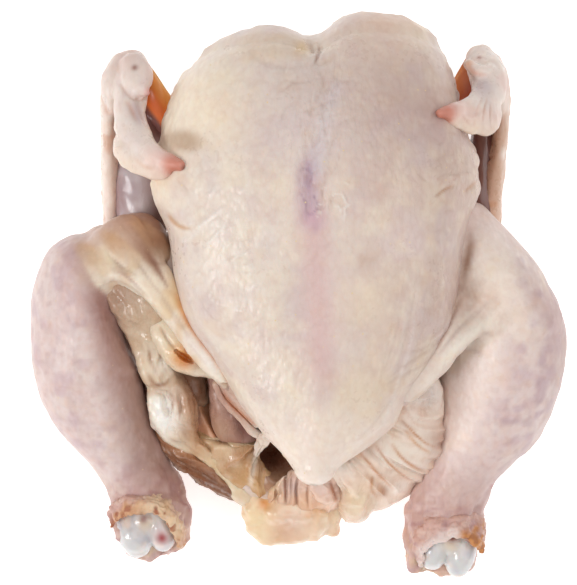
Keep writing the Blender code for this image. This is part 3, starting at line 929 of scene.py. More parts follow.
for side, way in sides.items():
    shank = along_bone(knee[side], hock[side], leg_girth[side], way)
    end, along, across, up = leg_axes(side)
    middle = end + along * 2 + up * 15
    scoop = [(*(middle + along * onward), 14, 15) for onward in (-4, 4, 12)]
    mesh = fused(
        "leg_" + side,
        [rings(thigh_flesh[side], 50, 64, reach=0.55), rings(shank, 80, 64, reach=0.8),
            rings(stretched_skin[side], 90, 40), fold[side]],
        1.1, 10, cutters=([rings(scoop, 20, 30)],),
    )
    points, normals = vertices(mesh)
    near_cut = smoothstep(44, 8, np.linalg.norm(points - end, axis=1))
    relief = 0.6 * billow(points, 20) + (0.4 + 2.4 * near_cut) * billow(points, 7, 2.2)
    relief += (0.2 + 1.6 * near_cut) * (1 - 2 * abs(billow(points, 5, 4.1)))
    for path, width, depth in leg_creases[side]:
        relief -= depth * furrow(points, path, width)
    points += normals * relief[:, None]
    points[:, 2] = np.maximum(points[:, 2], 0)
    moved(mesh, points)
    x, y, z = points.T
    paint = Paint(points, (228, 208, 203))
    paint.cloud((214, 186, 184), 20, 2.5, 0.6)
    paint.cloud((232, 214, 202), 14, 6.5, 0.6)
    paint.cloud((200, 170, 178), 6, 3.5, 0.45)
    paint.cloud((226, 196, 186), 3.4, 7.5, 0.45)
    paint.cloud((190, 160, 160), 2.6, 5.1, 0.3)
    inner = smoothstep(-12, 6, -way * (x - np.interp(y, (end[1], knee[side][1]), (end[0], knee[side][0]))))
    if side == "left":
        # Painted shade: the inner side of the left drumstick, away from the light, is browned.
        paint.lay((160, 122, 108), 0.85 * inner * smoothstep(-118, -96, y) * smoothstep(26, 2, y))
        paint.lay((190, 158, 150), 0.5 * inner * smoothstep(0.0, 0.6, billow(points, 7, 9.2)))
        # Painted shade: the left thigh's top by the breast, darkest in the crevice at the fold.
        paint.lay((204, 164, 136), 0.8 * smoothstep(-6, 20, y) * smoothstep(-122, -82, x))
        paint.lay((184, 142, 120), 0.7 * smoothstep(10, 36, y) * smoothstep(-112, -70, x))
        paint.touch((132, 88, 66), (-68.7, 20), 9, 0.85)
        # Painted shade: a pinkish-brown band where the drumstick turns from the light.
        paint.stroke((176, 134, 126), ((-99.3, 13.1), (-97.5, -4.3), (-93.8, -27), (-89.3, -49.8)), 5, 0.6)
        paint.touch((236, 220, 190), (-93.7, 14.7, 74), 9, 0.8)
    else:
        # Painted light: the inner side of the right drumstick, which faces the light, is lighter.
        paint.lay((244, 226, 218), 0.9 * inner * smoothstep(-90, -66, y))
        paint.touch((240, 224, 208), (77.8, 0.2, 74), 22, 0.9)
        # Painted shade: a dark line in the crevice between the right thigh and the breast.
        paint.stroke((146, 96, 66), ((71.1, 27.6), (69.8, 15.8), (66.6, 3.9), (65.2, -6.1)), 2.2, 0.85)
        mauve = smoothstep(-0.1, 0.7, billow(points, 5, 6.3))
        paint.lay((190, 160, 170), 0.5 * mauve * smoothstep(84, 100, x))
        # Painted shade: darker on the outer side of the right drumstick and towards the neck.
        paint.lay((196, 168, 162), 0.7 * smoothstep(2, -16, -x + 104) * smoothstep(-90, -60, y))
        paint.lay((200, 168, 158), 0.5 * smoothstep(20, 40, y))
        paint.lay((204, 170, 162), 0.7 * smoothstep(-66, -100, y))
        # Painted shade: a darker band down the outer side of the right thigh.
        paint.stroke((200, 168, 164), ((102.5, 2.6), (109.8, -11.1), (110.7, -27)), 7, 0.5)
    paint.crepe += 0.6 * near_cut
    paint.lay((206, 164, 154), 0.7 * near_cut)
    paint.lay((176, 132, 140), 0.6 * near_cut * smoothstep(-0.1, 0.5, billow(points, 5, 8.2)))
    at_rim = smoothstep(23, 15, np.linalg.norm(points - end, axis=1))
    veins = smoothstep(0.5, 0.9, 1 - 2.2 * abs(billow(points, 7, 8.8)))
    paint.lay((160, 106, 118), 0.6 * near_cut * veins)
    paint.lay((236, 212, 206), 0.6 * near_cut * smoothstep(0.2, 0.7, billow(points, 4, 3.9)))
    paint.lay((224, 188, 164), 0.7 * at_rim * smoothstep(-0.3, 0.4, billow(points, 4, 1.2)))
    paint.lay((240, 218, 186), 0.7 * at_rim * smoothstep(0.1, 0.6, billow(points, 3, 4.7)))
    on_lines = [furrow(points, line, 5) for line in zip(*fold_rows[side])]
    on_fold = smoothstep(0.15, 0.5, np.max(on_lines, axis=0))
    if side == "left":
        # Painted shade: the upper part of the fold by the breast, with a dark spot in the crevice.
        paint.lay((206, 164, 128), 0.85 * on_fold * smoothstep(2, 20, y))
        paint.touch((150, 106, 80), (-70.2, 18.5)[:2], 10, 0.8)
        paint.lay((240, 226, 206), on_fold * smoothstep(24, 4, y))
        yellow = smoothstep(0.0, 0.6, billow(points, 5, 3.3))
        paint.lay((226, 194, 150), 0.6 * on_fold * yellow * smoothstep(24, 4, y))
        paint.stroke((236, 196, 134), ((-64.7, 6.7), (-61.1, -4.3), (-54.7, -15.2), (-47.5, -27)), 3.6, 0.8)
        paint.stroke(
            (222, 138, 66), ((-62.5, -2.4), (-58.4, -12.5), (-52, -22.5), (-45.2, -31.6), (-37.9, -42.5)),
            1.1, 0.95,
        )
        paint.stroke((250, 244, 236), ((-58.4, -18.8), (-49.3, -30.7), (-42, -39.3)), 2.6, 0.9)
        paint.stroke((250, 240, 224), ((-92, 7.6), (-85.7, 0.8), (-78.4, -5.6), (-70.2, -13.4)), 2.4, 0.7)
    else:
        paint.lay((228, 210, 196), 0.9 * on_fold)
        paint.stroke(
            (246, 236, 222), ((82.5, -10.6), (74.3, -17.9), (65.7, -24.3), (58, -33.4), (48, -44.3)),
            2.4, 0.9,
        )
        paint.stroke(
            (182, 84, 92), ((70.5, -88.7, 40), (75.2, -86.3, 40), (81, -87.8, 38), (85, -90.2, 36)),
            0.9, 0.9,
        )
        flecks = smoothstep(-0.2, 0.4, billow(points, 3.4, 2.7))
        paint.lay((172, 136, 152), 0.6 * spot(points, (88.3, -58.7, 50), 9) * flecks)
        # Painted shade along the crease at the upper end of the right fold.
        paint.stroke((176, 132, 108), ((66.1, -4.3), (61.6, -13.4), (57.1, -21.6), (51.6, -30.7)), 0.9, 0.8)
    # Painted shade: every crease of the leg is darkened.
    for path, width, depth in leg_creases[side]:
        paint.stroke((150, 106, 96), path, width, 0.4 * min(depth, 1))
    finished("leg_" + side, mesh, paint, leg_skin)

# The torn edge of the skin round each ankle, browned and frayed where the foot came off.
cuff_rows = {
    "left": [
        [(-97.3, -101.7, 30), (-95.5, -105.3, 35.5), (-94.5, -109.1, 35)],
        [(-92.1, -95.8, 36), (-91.1, -100.8, 42.5), (-90.7, -104.6, 42)],
        [(-86.3, -92.9, 38), (-85.3, -98.4, 46), (-85.3, -102.1, 45)],
        [(-80.6, -92, 39), (-80.1, -97.9, 47), (-80.6, -102.1, 46)],
        [(-75, -91.5, 39), (-74.9, -97.4, 48), (-75.9, -100.7, 47)],
        [(-68.9, -93.9, 38), (-70.3, -99.3, 47), (-71.7, -102.1, 46)],
        [(-63.9, -99.6, 35), (-66.3, -104.1, 43), (-68.2, -106.9, 43)],
        [(-61.3, -107.3, 31), (-63.2, -110.3, 39), (-65.1, -112.7, 40)],
        [(-59.5, -116, 29), (-62, -118, 36), (-63.8, -119.4, 37)],
    ],
    "right": [
        [(44.9, -117, 28), (48, -123.4, 33), (50.8, -127.6, 33)],
        [(46.5, -107.3, 33), (49.8, -115, 41), (52.7, -119.7, 41)],
        [(51.9, -101.4, 38), (54.8, -111.1, 44.5), (57.2, -116.3, 43.5)],
        [(59.3, -100, 40), (59.8, -109.6, 46), (60.8, -113.9, 45)],
        [(64.9, -100.4, 40), (64.9, -108.6, 46.5), (65.4, -112, 45.5)],
        [(71, -100.9, 40), (70.5, -109.6, 46), (71.1, -114.3, 45)],
        [(76.4, -102.4, 37), (75.9, -111.6, 43), (75.5, -117.7, 42)],
        [(80.6, -105.8, 33), (79.6, -115.1, 38), (78.4, -120.4, 36.5)],
    ],
}
for side in sides:
    end, along, across, up = leg_axes(side)
    mesh, points = shaped(
        "ankle_skin_" + side, [film(cuff_rows[side], 96, 3.4, 16, 0.6, 0.2)], 0.6, 1,
        bumps=((5, 1.0), (2.4, 0.9), (1.3, 0.5)),
    )
    paint = Paint(points, (214, 176, 164), 0.4)
    paint.cloud((226, 196, 180), 5, 3.2, 0.7)
    paint.cloud((182, 140, 142), 3.4, 6.2, 0.6)
    torn = np.max([spot(points, row[2], 6.5) for row in cuff_rows[side]], axis=0)
    if side == "left":
        paint.lay((212, 162, 122), smoothstep(0.3, 0.8, torn + 0.5 * billow(points, 4, 2.1)))
        cream = 0.9 * spot(points, (-73.6, -97, 46), 7) + 0.8 * spot(points, (-64.6, -107.5, 40), 6)
        paint.lay((238, 216, 182), cream)
        flecks = smoothstep(0.1, 0.5, billow(points, 2.6, 5.1))
        paint.lay((164, 92, 56), 0.9 * flecks * smoothstep(0.3, 0.9, torn))
        paint.touch((96, 52, 40), (-79.7, -101.7, 45), 1.6, 0.9)
    else:
        right = smoothstep(64, 70, points[:, 0])
        paint.lay((206, 140, 80), right * smoothstep(0.2, 0.7, torn + 0.5 * billow(points, 4, 2.1)))
        paint.lay((152, 88, 50), 0.8 * right * smoothstep(0.1, 0.5, billow(points, 2.6, 5.1)) * torn)
        paint.lay((232, 214, 208), (1 - right) * smoothstep(0.3, 0.9, torn))
    finished("ankle_skin_" + side, mesh, paint, leg_skin)

# ---------------------------------------------------------------------------------------------------------
# The wings: folded, with the forearm on edge beside the breast, the hand turned back over it and a bright
# orange sheet of skin across the bend. The upper arm and the skin of the armpit lie between them.

shoulder = {"left": (-46, 74, 40), "right": (48, 74, 40)}
elbow = {"left": (-92, 38, 27), "right": (83, 37, 27)}
hand = {
    "left": (
        (-84.4, 106.2, 58, 7.5, 7), (-84, 98.4, 63, 8.6, 8), (-84.1, 89.8, 68, 7.8, 7.5),
        (-84.3, 81.4, 72, 7.4, 7), (-83, 72.5, 77, 7.8, 6.5), (-78.5, 64.4, 83, 6.8, 6),
        (-72.3, 59.1, 89, 5.2, 5), (-65.8, 56, 94, 4.1, 4), (-60.3, 53.9, 98, 2.6, 2.8),
    ),
    "right": (
        (77.4, 108.9, 58, 6.6, 7), (79.1, 101.9, 64, 8.4, 8), (80, 94.5, 70, 8.4, 7),
        (78.6, 87.7, 75, 8, 6.5), (73.5, 82.7, 81, 6.6, 5.5), (66.8, 80, 87, 5.2, 4.6),
        (60.9, 78.4, 93, 3.8, 3.8), (55.7, 77.4, 98, 2.2, 2.4),
    ),
}
thumb = {
    "left": (
        (-83.4, 105.2, 66, 6.5, 5), (-81.2, 98.4, 71, 7.6, 4.5), (-79.2, 92.5, 74, 5.8, 3.8),
        (-77.3, 89.6, 75, 2.8, 2.4),
    ),
    "right": (
        (70.8, 103.9, 71, 2.6, 2.6), (73.8, 100.8, 73, 3.2, 3), (77.3, 99.3, 74, 3.6, 3),
        (81.1, 101.4, 72, 2.8, 2.4),
    ),
}
# The skin along the trailing edge of each hand, from its bones out to the free border.
trailing_skin = {
    "left": (
        ((-86.2, 75.2, 77), (-82.6, 66.2, 83), (-76.3, 59.5, 89), (-69.4, 55.4, 93), (-63, 52.8, 96)),
        ((-89.4, 72.6, 76), (-86.8, 62.9, 81), (-80.1, 55.8, 87), (-71.8, 52.1, 91), (-63.1, 51.3, 94)),
        ((-91.1, 70.5, 72), (-89.9, 60.8, 76), (-83.6, 53.7, 82), (-74.2, 49.9, 87), (-64.1, 50.2, 92)),
    ),
    "right": (
        ((60.4, 77.6, 94), (67, 78.6, 90), (73.6, 81, 86), (79.5, 86.5, 80), (83.7, 92.9, 74)),
        ((58.2, 76.2, 94), (63.9, 75.2, 89), (71.4, 74.9, 85), (79.5, 77.5, 80), (85.6, 84, 73)),
        ((57, 75.6, 92), (62.7, 72.8, 87), (69.9, 71.3, 82), (78, 70.2, 77), (84.8, 74.6, 72)),
    ),
}
wing_creases = {
    "left": (
        (
            ((-90.8, 71.7, 76), (-88.7, 66.3, 79), (-84.9, 61.8, 82), (-79.2, 57.2, 86), (-72.7, 53.6, 90)),
            0.7, 1.0,
        ),
        (
            ((-88.4, 94.1, 72), (-85.6, 89.9, 73), (-82.3, 87.5, 74), (-78.2, 87.5, 74), (-74.2, 88.5, 73)),
            0.9, 1.8,
        ),
        (((-96.4, 86.3, 52), (-94.1, 80.7, 52), (-92.7, 75.2, 52)), 0.7, 0.8),
        (((-85.4, 86.2, 76), (-82.9, 81.4, 78), (-80.5, 75.6, 80)), 1.2, 0.9),
        (((-88.7, 86.5, 74), (-87.5, 79.7, 77), (-86, 72.9, 80)), 0.6, 0.5),
        (((-80.8, 85.3, 76), (-78.8, 78.5, 79), (-75.5, 71.7, 82)), 0.6, 0.5),
    ),
    "right": (
        (((70.4, 103.2, 70), (73.5, 99.8, 71), (78, 98.2, 72), (82.1, 100.2, 71)), 0.8, 1.8),
        (((84.3, 93.2, 72), (85.1, 87.6, 73), (86, 82.1, 73)), 0.8, 1.2),
        (((76.2, 87.1, 82), (73.1, 81, 86), (71.3, 73, 86)), 0.6, 0.8),
        (((78, 86.2, 82), (75.9, 79.4, 85), (75.7, 71.7, 82)), 0.6, 0.9),
        (((79.9, 86.5, 80), (79.3, 79, 82), (80, 72.2, 79)), 0.6, 0.9),
        (((81.9, 87.7, 78), (82.3, 82.1, 79), (83.5, 76.2, 76)), 0.6, 0.8),
        (((64.6, 77.4, 92), (67.3, 75.8, 91), (69.4, 73.6, 88)), 0.5, 0.5),
        (((86.9, 69.5, 46), (84.5, 65.7, 46), (81.3, 63.1, 45), (77.7, 60.4, 44)), 0.8, 1.2),
        (((88.4, 63.2, 44), (85.2, 58.5, 44), (80.7, 54.1, 42)), 0.7, 0.8),
        (((86, 51.5, 40), (82.7, 48.7, 40), (80.1, 44.2, 38)), 0.8, 1.0),
        (((87.6, 47, 38), (84.9, 41.5, 37), (81.2, 37.8, 36)), 0.7, 0.7),
    ),
}
forearm = {
    "left": (
        (-95.7, 35.9, 27, 4.3, 12.5), (-95.6, 55, 34, 4.5, 13.5), (-95.5, 73, 41, 4.5, 14),
        (-95.3, 88.2, 46, 4.6, 13.5), (-93.3, 97.6, 51, 5.2, 12), (-89.8, 104.6, 54, 5.6, 10),
    ),
    "right": (
        (83, 35.9, 27, 6, 12), (84, 48.2, 32, 5.6, 13), (85.7, 61.6, 38, 4.6, 13.5),
        (87.1, 75, 43, 3.8, 13.5), (87.7, 88.5, 47, 3.8, 13), (86.4, 98.6, 51, 4.4, 12),
        (82.4, 105, 54, 5.5, 10),
    ),
}
wrist_skin = {
    "left": (
        (-89, 106.6, 58, 5, 7), (-91.8, 100.2, 58, 6, 9), (-93.3, 93.1, 56, 5.5, 10),
        (-93, 86.9, 54, 3.5, 8),
    ),
    "right": (
        (82, 106.6, 58, 5, 7), (84.8, 100.2, 58, 5.5, 9), (85.9, 93.1, 56, 5, 10), (86.1, 86, 54, 3.5, 8),
    ),
}
spread_skin = {
    "left": (
        ((-81.3, 111.6, 56), (-76.2, 106.5, 56), (-71.3, 99.5, 54), (-67.3, 93.4, 51), (-62.4, 87.2, 46)),
        ((-84.6, 102.6, 49), (-79.9, 96.6, 49), (-74.8, 90.5, 49), (-70.3, 84.8, 47), (-64.9, 79.9, 42)),
        ((-87.1, 91, 40), (-82.9, 85.4, 40), (-78.2, 79.7, 40), (-73, 74.5, 40), (-67, 69.6, 38)),
    ),
    "right": (
        ((61.8, 94.1, 44), (65.2, 100.5, 48), (68.2, 105.8, 52), (71.6, 110.9, 55), (76.6, 114.4, 56)),
        ((63.8, 90.7, 42), (67.3, 95.8, 45), (70.8, 100, 48), (74.8, 104.3, 50), (80.3, 107.9, 51)),
        ((66.8, 86.3, 40), (69.9, 90.7, 42), (73.5, 94.1, 44), (77.5, 97.5, 46), (82.6, 101.1, 47)),
    ),
}
# The wet skin between the forearm and the breast, over the upper arm.
armpit = {
    "left": (
        (-82.2, 82.2, 36, 11, 9), (-82.2, 69.8, 37, 12.5, 11), (-82.2, 57, 37, 13, 13),
        (-81.8, 45.5, 35, 13, 13), (-81, 34.3, 33, 12, 12),
    ),
    "right": (
        (80.6, 83.8, 38, 6, 9), (80.7, 68.8, 37, 7, 10), (79.9, 54.9, 35, 7, 11), (79.1, 41, 33, 7, 11),
    ),
}


wing_skin = flesh_material("wing_skin", roughness=0.42, bumps=0.6, wet=0.3)
wet_film = flesh_material("wet_film", roughness=0.24, coat=0.3, bumps=0.3, mottle=0.8, soft=0.2, wet=1.0)
for side, way in sides.items():
    mesh, points = shaped(
        "wing_" + side,
        [
            rings(forearm[side], 80, 48, 2.4),
            rings(hand[side], 90, 44),
            rings(wrist_skin[side], 40, 40),
            rings(thumb[side], 40, 30),
            film(trailing_skin[side], 60, 5.5, 6, 0.5),
        ],
        0.8, 3,
        bumps=((12, 0.5), (5, 0.4), (2.5, 0.22)),
        creases=wing_creases[side],
    )
    x, y, z = points.T
    paint = Paint(points, (238, 222, 212), 0.2)
    paint.cloud((230, 198, 188), 9, 3.3, 0.6)
    paint.cloud((218, 200, 198), 6, 6.1, 0.35)
    tip = np.array(hand[side][-1][:3], float)
    from_tip = np.linalg.norm(points - tip, axis=1)
    low = smoothstep(64, 56, z)
    paint.lay((236, 196, 184), 0.7 * smoothstep(24, 8, from_tip))
    paint.stroke((238, 218, 198), trailing_skin[side][2], 4.5, 0.9)
    paint.lay((208, 122, 98), 0.8 * smoothstep(11, 4, from_tip))
    paint.touch((176, 92, 66), tip[:2] + (way * 2, -3), 2.4, 0.7)
    paint.touch((112, 62, 48), tip[:2] + (-way * 2.6, -1.5), 1.5)
    # Painted light on the left wing's low parts and painted shade on the right wing's.
    paint.lay((246, 226, 212) if side == "left" else (206, 162, 132), 0.8 * low)
    paint.lay((242, 228, 218), low * 0.8 * smoothstep(0.0, 0.7, billow(points, 8, 2.9)))
    paint.lay((206, 148, 108), low * 0.7 * smoothstep(0.3, 0.9, billow(points, 6, 5.9)))
    if side == "left":
        paint.touch((216, 184, 174), (-85.2, 107.2, 60), 8, 0.7)
        paint.touch((150, 100, 88), (-82.1, 102.1), 1.5, 0.9)
        paint.touch((226, 160, 156), (-74.9, 89.9), 2.2, 0.9)
        paint.stroke((196, 176, 178), ((-81.8, 86.8, 75), (-80.7, 80.5, 78), (-78.7, 73.7, 81)), 3, 0.7)
        paint.stroke((214, 142, 80), ((-81, 58.6, 86), (-76.9, 54.7, 88), (-70.9, 52.1, 91)), 0.8, 0.9)
        paint.stroke((206, 128, 76), ((-91.2, 65.7, 60), (-89.3, 54.9, 54), (-90.4, 38.3, 40)), 3, 0.7)
    else:
        paint.touch((168, 104, 84), (75.8, 107.5), 1.1, 0.8)
        paint.touch((236, 190, 160), (70.6, 104), 1.8, 0.9)
        paint.touch((196, 178, 182), (76.5, 91.3, 78), 5, 0.7)
        paint.stroke((214, 136, 96), ((70.2, 102.8, 72), (73.3, 99.4, 73), (77.9, 98.1, 73)), 1.0, 0.8)
    # Painted shade: every crease of the wing is darkened.
    for path, width, depth in wing_creases[side]:
        paint.stroke((196, 132, 96), path, width * 0.8, 0.5 * min(depth, 1))
    finished("wing_" + side, mesh, paint, wing_skin)

    upper = along_bone(shoulder[side], elbow[side], ((0, 0, 15, 15), (0.5, 0, 14, 15), (0.9, 0, 9, 12)), way)
    mesh, points = shaped(
        "shoulder_" + side, [rings(upper, 60, 60), rings(armpit[side], 70, 50)], 1.0, 6,
            bumps=((9, 0.7), (4, 0.3)),
    )
    x, y, z = points.T
    # The right one is painted dark maroon all over: painted shade in its gap by the breast.
    paint = Paint(points, (196, 180, 184) if side == "left" else (132, 92, 84), 0.15)
    if side == "left":
        # Painted shade: darker towards the breast and the elbow.
        paint.lay((128, 84, 80), 0.8 * smoothstep(-76, -68, x + 0.12 * (y - 40)) * smoothstep(70, 50, y))
        paint.cloud((220, 212, 214), 7, 3.1, 0.5)
        paint.cloud((166, 132, 132), 9, 5.1, 0.6)
    # Painted shade: darker at the elbow end and under the breast at the shoulder.
    paint.lay((112, 70, 62), 0.9 * smoothstep(-84, -72, x) * smoothstep(48, 34, y))
    paint.lay((120, 78, 72), 0.9 * smoothstep(66, 78, y))
    finished("shoulder_" + side, mesh, paint, wet_film)

    mesh, points = shaped("web_" + side, [film(spread_skin[side], 72, 2.4)], bumps=((9, 0.3),))
    first, last = np.array(spread_skin[side][0][0][:2], float), np.array(spread_skin[side][0][-1][:2], float)
    line = (last - first) / np.linalg.norm(last - first)
    below_edge = abs((points[:, :2] - first) @ (line[1], -line[0]))
    tones = {
        "left": ((250, 210, 150), (246, 172, 92), (228, 116, 48)),
        "right": ((246, 196, 150), (236, 150, 98), (206, 104, 62)),
    }
    paint = Paint(points, tones[side][0])
    # Partly its own orange, partly painted shade: deeper towards the low edge, maroon at the lowest.
    paint.lay(tones[side][1], smoothstep(-1.5, 1.5, below_edge))
    paint.lay(tones[side][2], smoothstep(2, 8, below_edge))
    paint.lay((122, 78, 72), smoothstep(10.5, 13, below_edge))
    finished("web_" + side, mesh, paint, wet_film)

# ---------------------------------------------------------------------------------------------------------
# The folds round the opening, all of skin and fat: the lip curled up under the left fold of skin, ropes of
# yellowish fat, the thick rim that runs on down to the tail, and the thin brown edge of skin outside it.


def strands(grid, lengthwise, crosswise, depth, shift=0.0):
    """The grid with ridges: each point moved along its normal by noise read at (cos, sin of its place in the
    ring) x crosswise and its share of the length x lengthwise. A large crosswise gives ropes, a large
    lengthwise gives rings."""
    count, around = grid.shape[:2]
    turn = np.linspace(0, 2 * np.pi, around, endpoint=False)
    at = np.empty((count, around, 3))
    at[..., 0] = np.cos(turn) * crosswise
    at[..., 1] = np.sin(turn) * crosswise
    at[..., 2] = (np.linspace(0, 1, count) * lengthwise)[:, None]
    fade = np.sin(np.linspace(0, np.pi, count))[:, None] ** 0.3
    height = depth * fade * (1 - 2 * abs(billow(at, 1.0, shift)))
    return grid + outward(grid) * height[..., None]


def soft_piece(name, grids, ground, material, tints=(), clouds=(), lines=(), crepe=0.0, **shaping):
    """A piece painted by its tints (colour, place, size, strength), its clouds (colour, size, strength), its
    lines (colour, path, width) and the darker colour of its creases, which is painted shade. The rest goes to
    its shaping."""
    mesh, points = shaped(name, grids, **shaping)
    paint = Paint(points, ground, crepe)
    for colour, size, strength in clouds:
        paint.cloud(colour, size, size, strength)
    for colour, place, size, strength in tints:
        paint.touch(colour, place, size, strength)
    for colour, path, width in lines:
        paint.stroke(colour, path, width, 0.9)
    # Painted shade in the creases.
    for path, width, depth in shaping.get("creases", ()):
        paint.stroke((164, 114, 80), path, width * 0.8, 0.6 * min(depth, 1))
    return finished(name, mesh, paint, material)


fat = flesh_material("fat", roughness=0.28, coat=0.2, bumps=0.3, mottle=0.9, soft=0.25, wet=1.0, lean=0.3)
lobe = rings((
    (-71.3, -11, 62, 3.5, 4), (-67.5, -18, 64, 8, 6), (-61.5, -24.4, 64, 10.5, 7.5),
    (-55.6, -29.4, 63, 10, 7), (-50.6, -34, 62, 6, 5), (-47.4, -37.6, 62, 2, 3.5),
), 80, 60)
pit = rings(((-63, -27.4, 71, 0.9, 3.5), (-58.9, -30.4, 70.5, 1.7, 4), (-55.3, -32.4, 70, 1, 3.5)), 20, 20)
soft_piece(
    "curled_lip", [strands(lobe, 3, 1.2, 0.8)], (236, 220, 196), fat,
    tints=(
        ((230, 196, 144), (-61.2, -26.9, 70), 6, 0.6),
        ((228, 150, 64), (-59.6, -30, 66), 5.2, 1.0),
        ((196, 108, 30), (-58.8, -30.8, 64), 3.6, 1.0),
    ),
    crepe=0.3, voxel=0.6, softening=3, cutters=([pit],), bumps=((4, 0.4),),
    creases=(
        (((-70.4, -15.9, 69), (-66.7, -22.4, 70), (-63, -27, 71)), 0.8, 1.2),
        (((-68.7, -26.8, 66), (-64.2, -32.3, 66), (-57.8, -36.3, 64)), 0.7, 0.6),
    ),
)
ropes = [
    strands(rings(stations, 80, 30), 4, 1.6, 0.9, i)
    for i, stations in enumerate((
        (
            (-94.8, 3, 60, 4, 6), (-88.7, -4.5, 62, 6, 7), (-83.5, -13, 58, 5.5, 7), (-80, -22.6, 55, 5, 6),
            (-77.9, -31.7, 52, 4, 5),
        ),
        (
            (-87.2, 0.9, 64, 6, 6), (-80.8, -6.9, 64, 6.5, 6), (-76.9, -15.4, 60, 5.5, 6),
            (-75.2, -24.5, 57, 4.5, 5), (-73.6, -33.7, 54, 3.4, 4),
        ),
        (
            (-77.9, -3.9, 66, 5, 5), (-72.5, -11.1, 64, 5, 5), (-70.9, -19.1, 60, 4.4, 5),
            (-70.6, -27.4, 58, 3.4, 4),
        ),
        (
            (-82.8, 1.1, 48, 4, 4), (-80.6, -11.4, 53, 4, 4), (-78.7, -22.5, 54, 4, 4.5),
            (-77.3, -31.8, 54, 4.2, 4.5), (-74.6, -39.6, 52, 4.2, 4.5), (-68.2, -44.2, 50, 3, 3.5),
        ),
        (
            (-78, 0, 50, 4, 4), (-75.3, -12.5, 56, 3.6, 4), (-74, -22.6, 55, 3.6, 4),
            (-72.3, -31.8, 53, 3.6, 4.2), (-69.1, -38.2, 51, 3.4, 4), (-64.5, -42.8, 50, 2.4, 3),
        ),
        (
            (-73.2, -10.4, 52, 2, 3), (-70.6, -20.8, 57, 2.6, 3.2), (-69.3, -29.6, 56, 2.8, 3.4),
            (-66.2, -36, 54, 2.8, 3.4), (-61.2, -40.1, 52, 1.8, 2.6),
        ),
    ))
]
ropes.append(rings((
    (-67.2, -28.6, 44, 5, 8), (-61.6, -35.2, 43, 7, 9), (-57, -40.7, 41, 7, 9), (-53.9, -47.2, 38, 5, 8),
), 40, 40))
tan_fold = rings((
    (-66.1, -37.1, 46, 3.6, 7), (-63.1, -44.7, 50, 5.6, 9), (-61.3, -52.1, 49, 6.2, 10),
    (-60.5, -59.6, 46, 5.8, 9), (-57.5, -67, 42, 4.2, 7),
), 80, 50)
rim = rings((
    (-73.1, -40.9, 46, 3.6, 5), (-73, -48.4, 48, 4.4, 6), (-71.6, -55.4, 48, 4.8, 6),
    (-68, -61.9, 46, 4.6, 6), (-62, -66.6, 44, 4.2, 5.5), (-54.6, -70.3, 42, 4, 5.5),
    (-48.2, -75.5, 39, 4.4, 5), (-43.1, -81.7, 36, 4.6, 5), (-38, -88.3, 33, 4.4, 5),
    (-32.4, -93.6, 30, 4, 4.5), (-26.8, -97.5, 27, 3, 4),
), 160, 44)
soft_piece(
    "fat_folds",
    [*ropes, strands(tan_fold, 4, 1.8, 1.6, 3.1), strands(rim, 7, 1.5, 1.1)],
    (228, 208, 182), fat,
    tints=(
        # Painted shade on the inner thigh skin under the fold, lighter lower down.
        ((172, 138, 116), (-89.8, -2.9, 66), 17, 0.95),
        ((206, 178, 150), (-79.1, -13.7, 62), 9, 0.7),
        ((244, 236, 222), (-69.6, -33.8, 58), 5, 0.7),
        ((188, 140, 102), (-58.2, -51.3, 56), 9, 0.9),
        # Painted shade in the dark gap beside the tan fold.
        ((140, 92, 64), (-58.7, -39, 46), 8, 0.9),
        ((140, 92, 64), (-54.1, -45.5, 44), 7, 0.9),
        ((172, 118, 76), (-56.7, -63.3, 48), 7, 0.8),
        # Bright white fat, partly painted light on the side of the column that faces the light.
        ((255, 250, 242), (-69.9, -51.3, 54), 6, 1.0),
        ((255, 252, 246), (-69, -58.7, 54), 7, 1.0),
        ((222, 190, 144), (-46.6, -78.3, 44), 10, 0.6),
        ((238, 218, 186), (-37.4, -89.6, 38), 8, 0.6),
        ((196, 144, 96), (-53.1, -70.8, 46), 5, 0.7),
    ),
    clouds=(((242, 232, 214), 7, 0.5), ((204, 160, 118), 5, 0.5)),
    lines=(
        # Painted shade: brown lines in creases of the ropes and the tan fold.
        (
            (150, 98, 66), ((-76.7, -37.5, 56), (-73.1, -42.1, 55), (-68.5, -42, 54), (-65.7, -39.2, 54)),
            1.0,
        ),
        ((160, 108, 72), ((-66.4, -45.8, 58), (-64.6, -49.5, 58), (-65.6, -54.1, 57)), 0.8),
        ((160, 108, 72), ((-76.1, -21.8, 58), (-75.2, -30.1, 57), (-73, -36.5, 56)), 0.8),
    ),
    crepe=0.3, voxel=0.8, softening=2, bumps=((6, 0.8), (2.6, 0.45)),
    creases=(
        (((-77.5, -19, 58), (-76.1, -27.4, 58), (-75.3, -34.7, 56)), 0.8, 1.2),
        (((-71.8, -21.9, 60), (-70.5, -30.2, 60), (-67.9, -36.6, 57)), 0.8, 1.2),
        (((-75.8, -42.1, 56), (-71.1, -45.8, 56), (-66.5, -44.9, 56)), 0.8, 1.3),
        (((-67.4, -46.7, 57), (-66.4, -54.1, 58), (-67.5, -62.4, 55)), 1.0, 1.5),
        (((-62.7, -44, 58), (-61.3, -51.4, 58), (-61.9, -58.7, 56)), 0.8, 1.0),
        (((-66.9, -67.1, 50), (-58.5, -71.7, 50), (-50.2, -76.4, 47)), 0.8, 1.0),
    ),
)
border = (
    (-81.9, -38.6, 34), (-80.4, -50, 35), (-75.2, -66.1, 35), (-67.7, -77, 34), (-57.9, -85, 33),
    (-46.2, -92.2, 30), (-30.1, -98.4, 28),
)
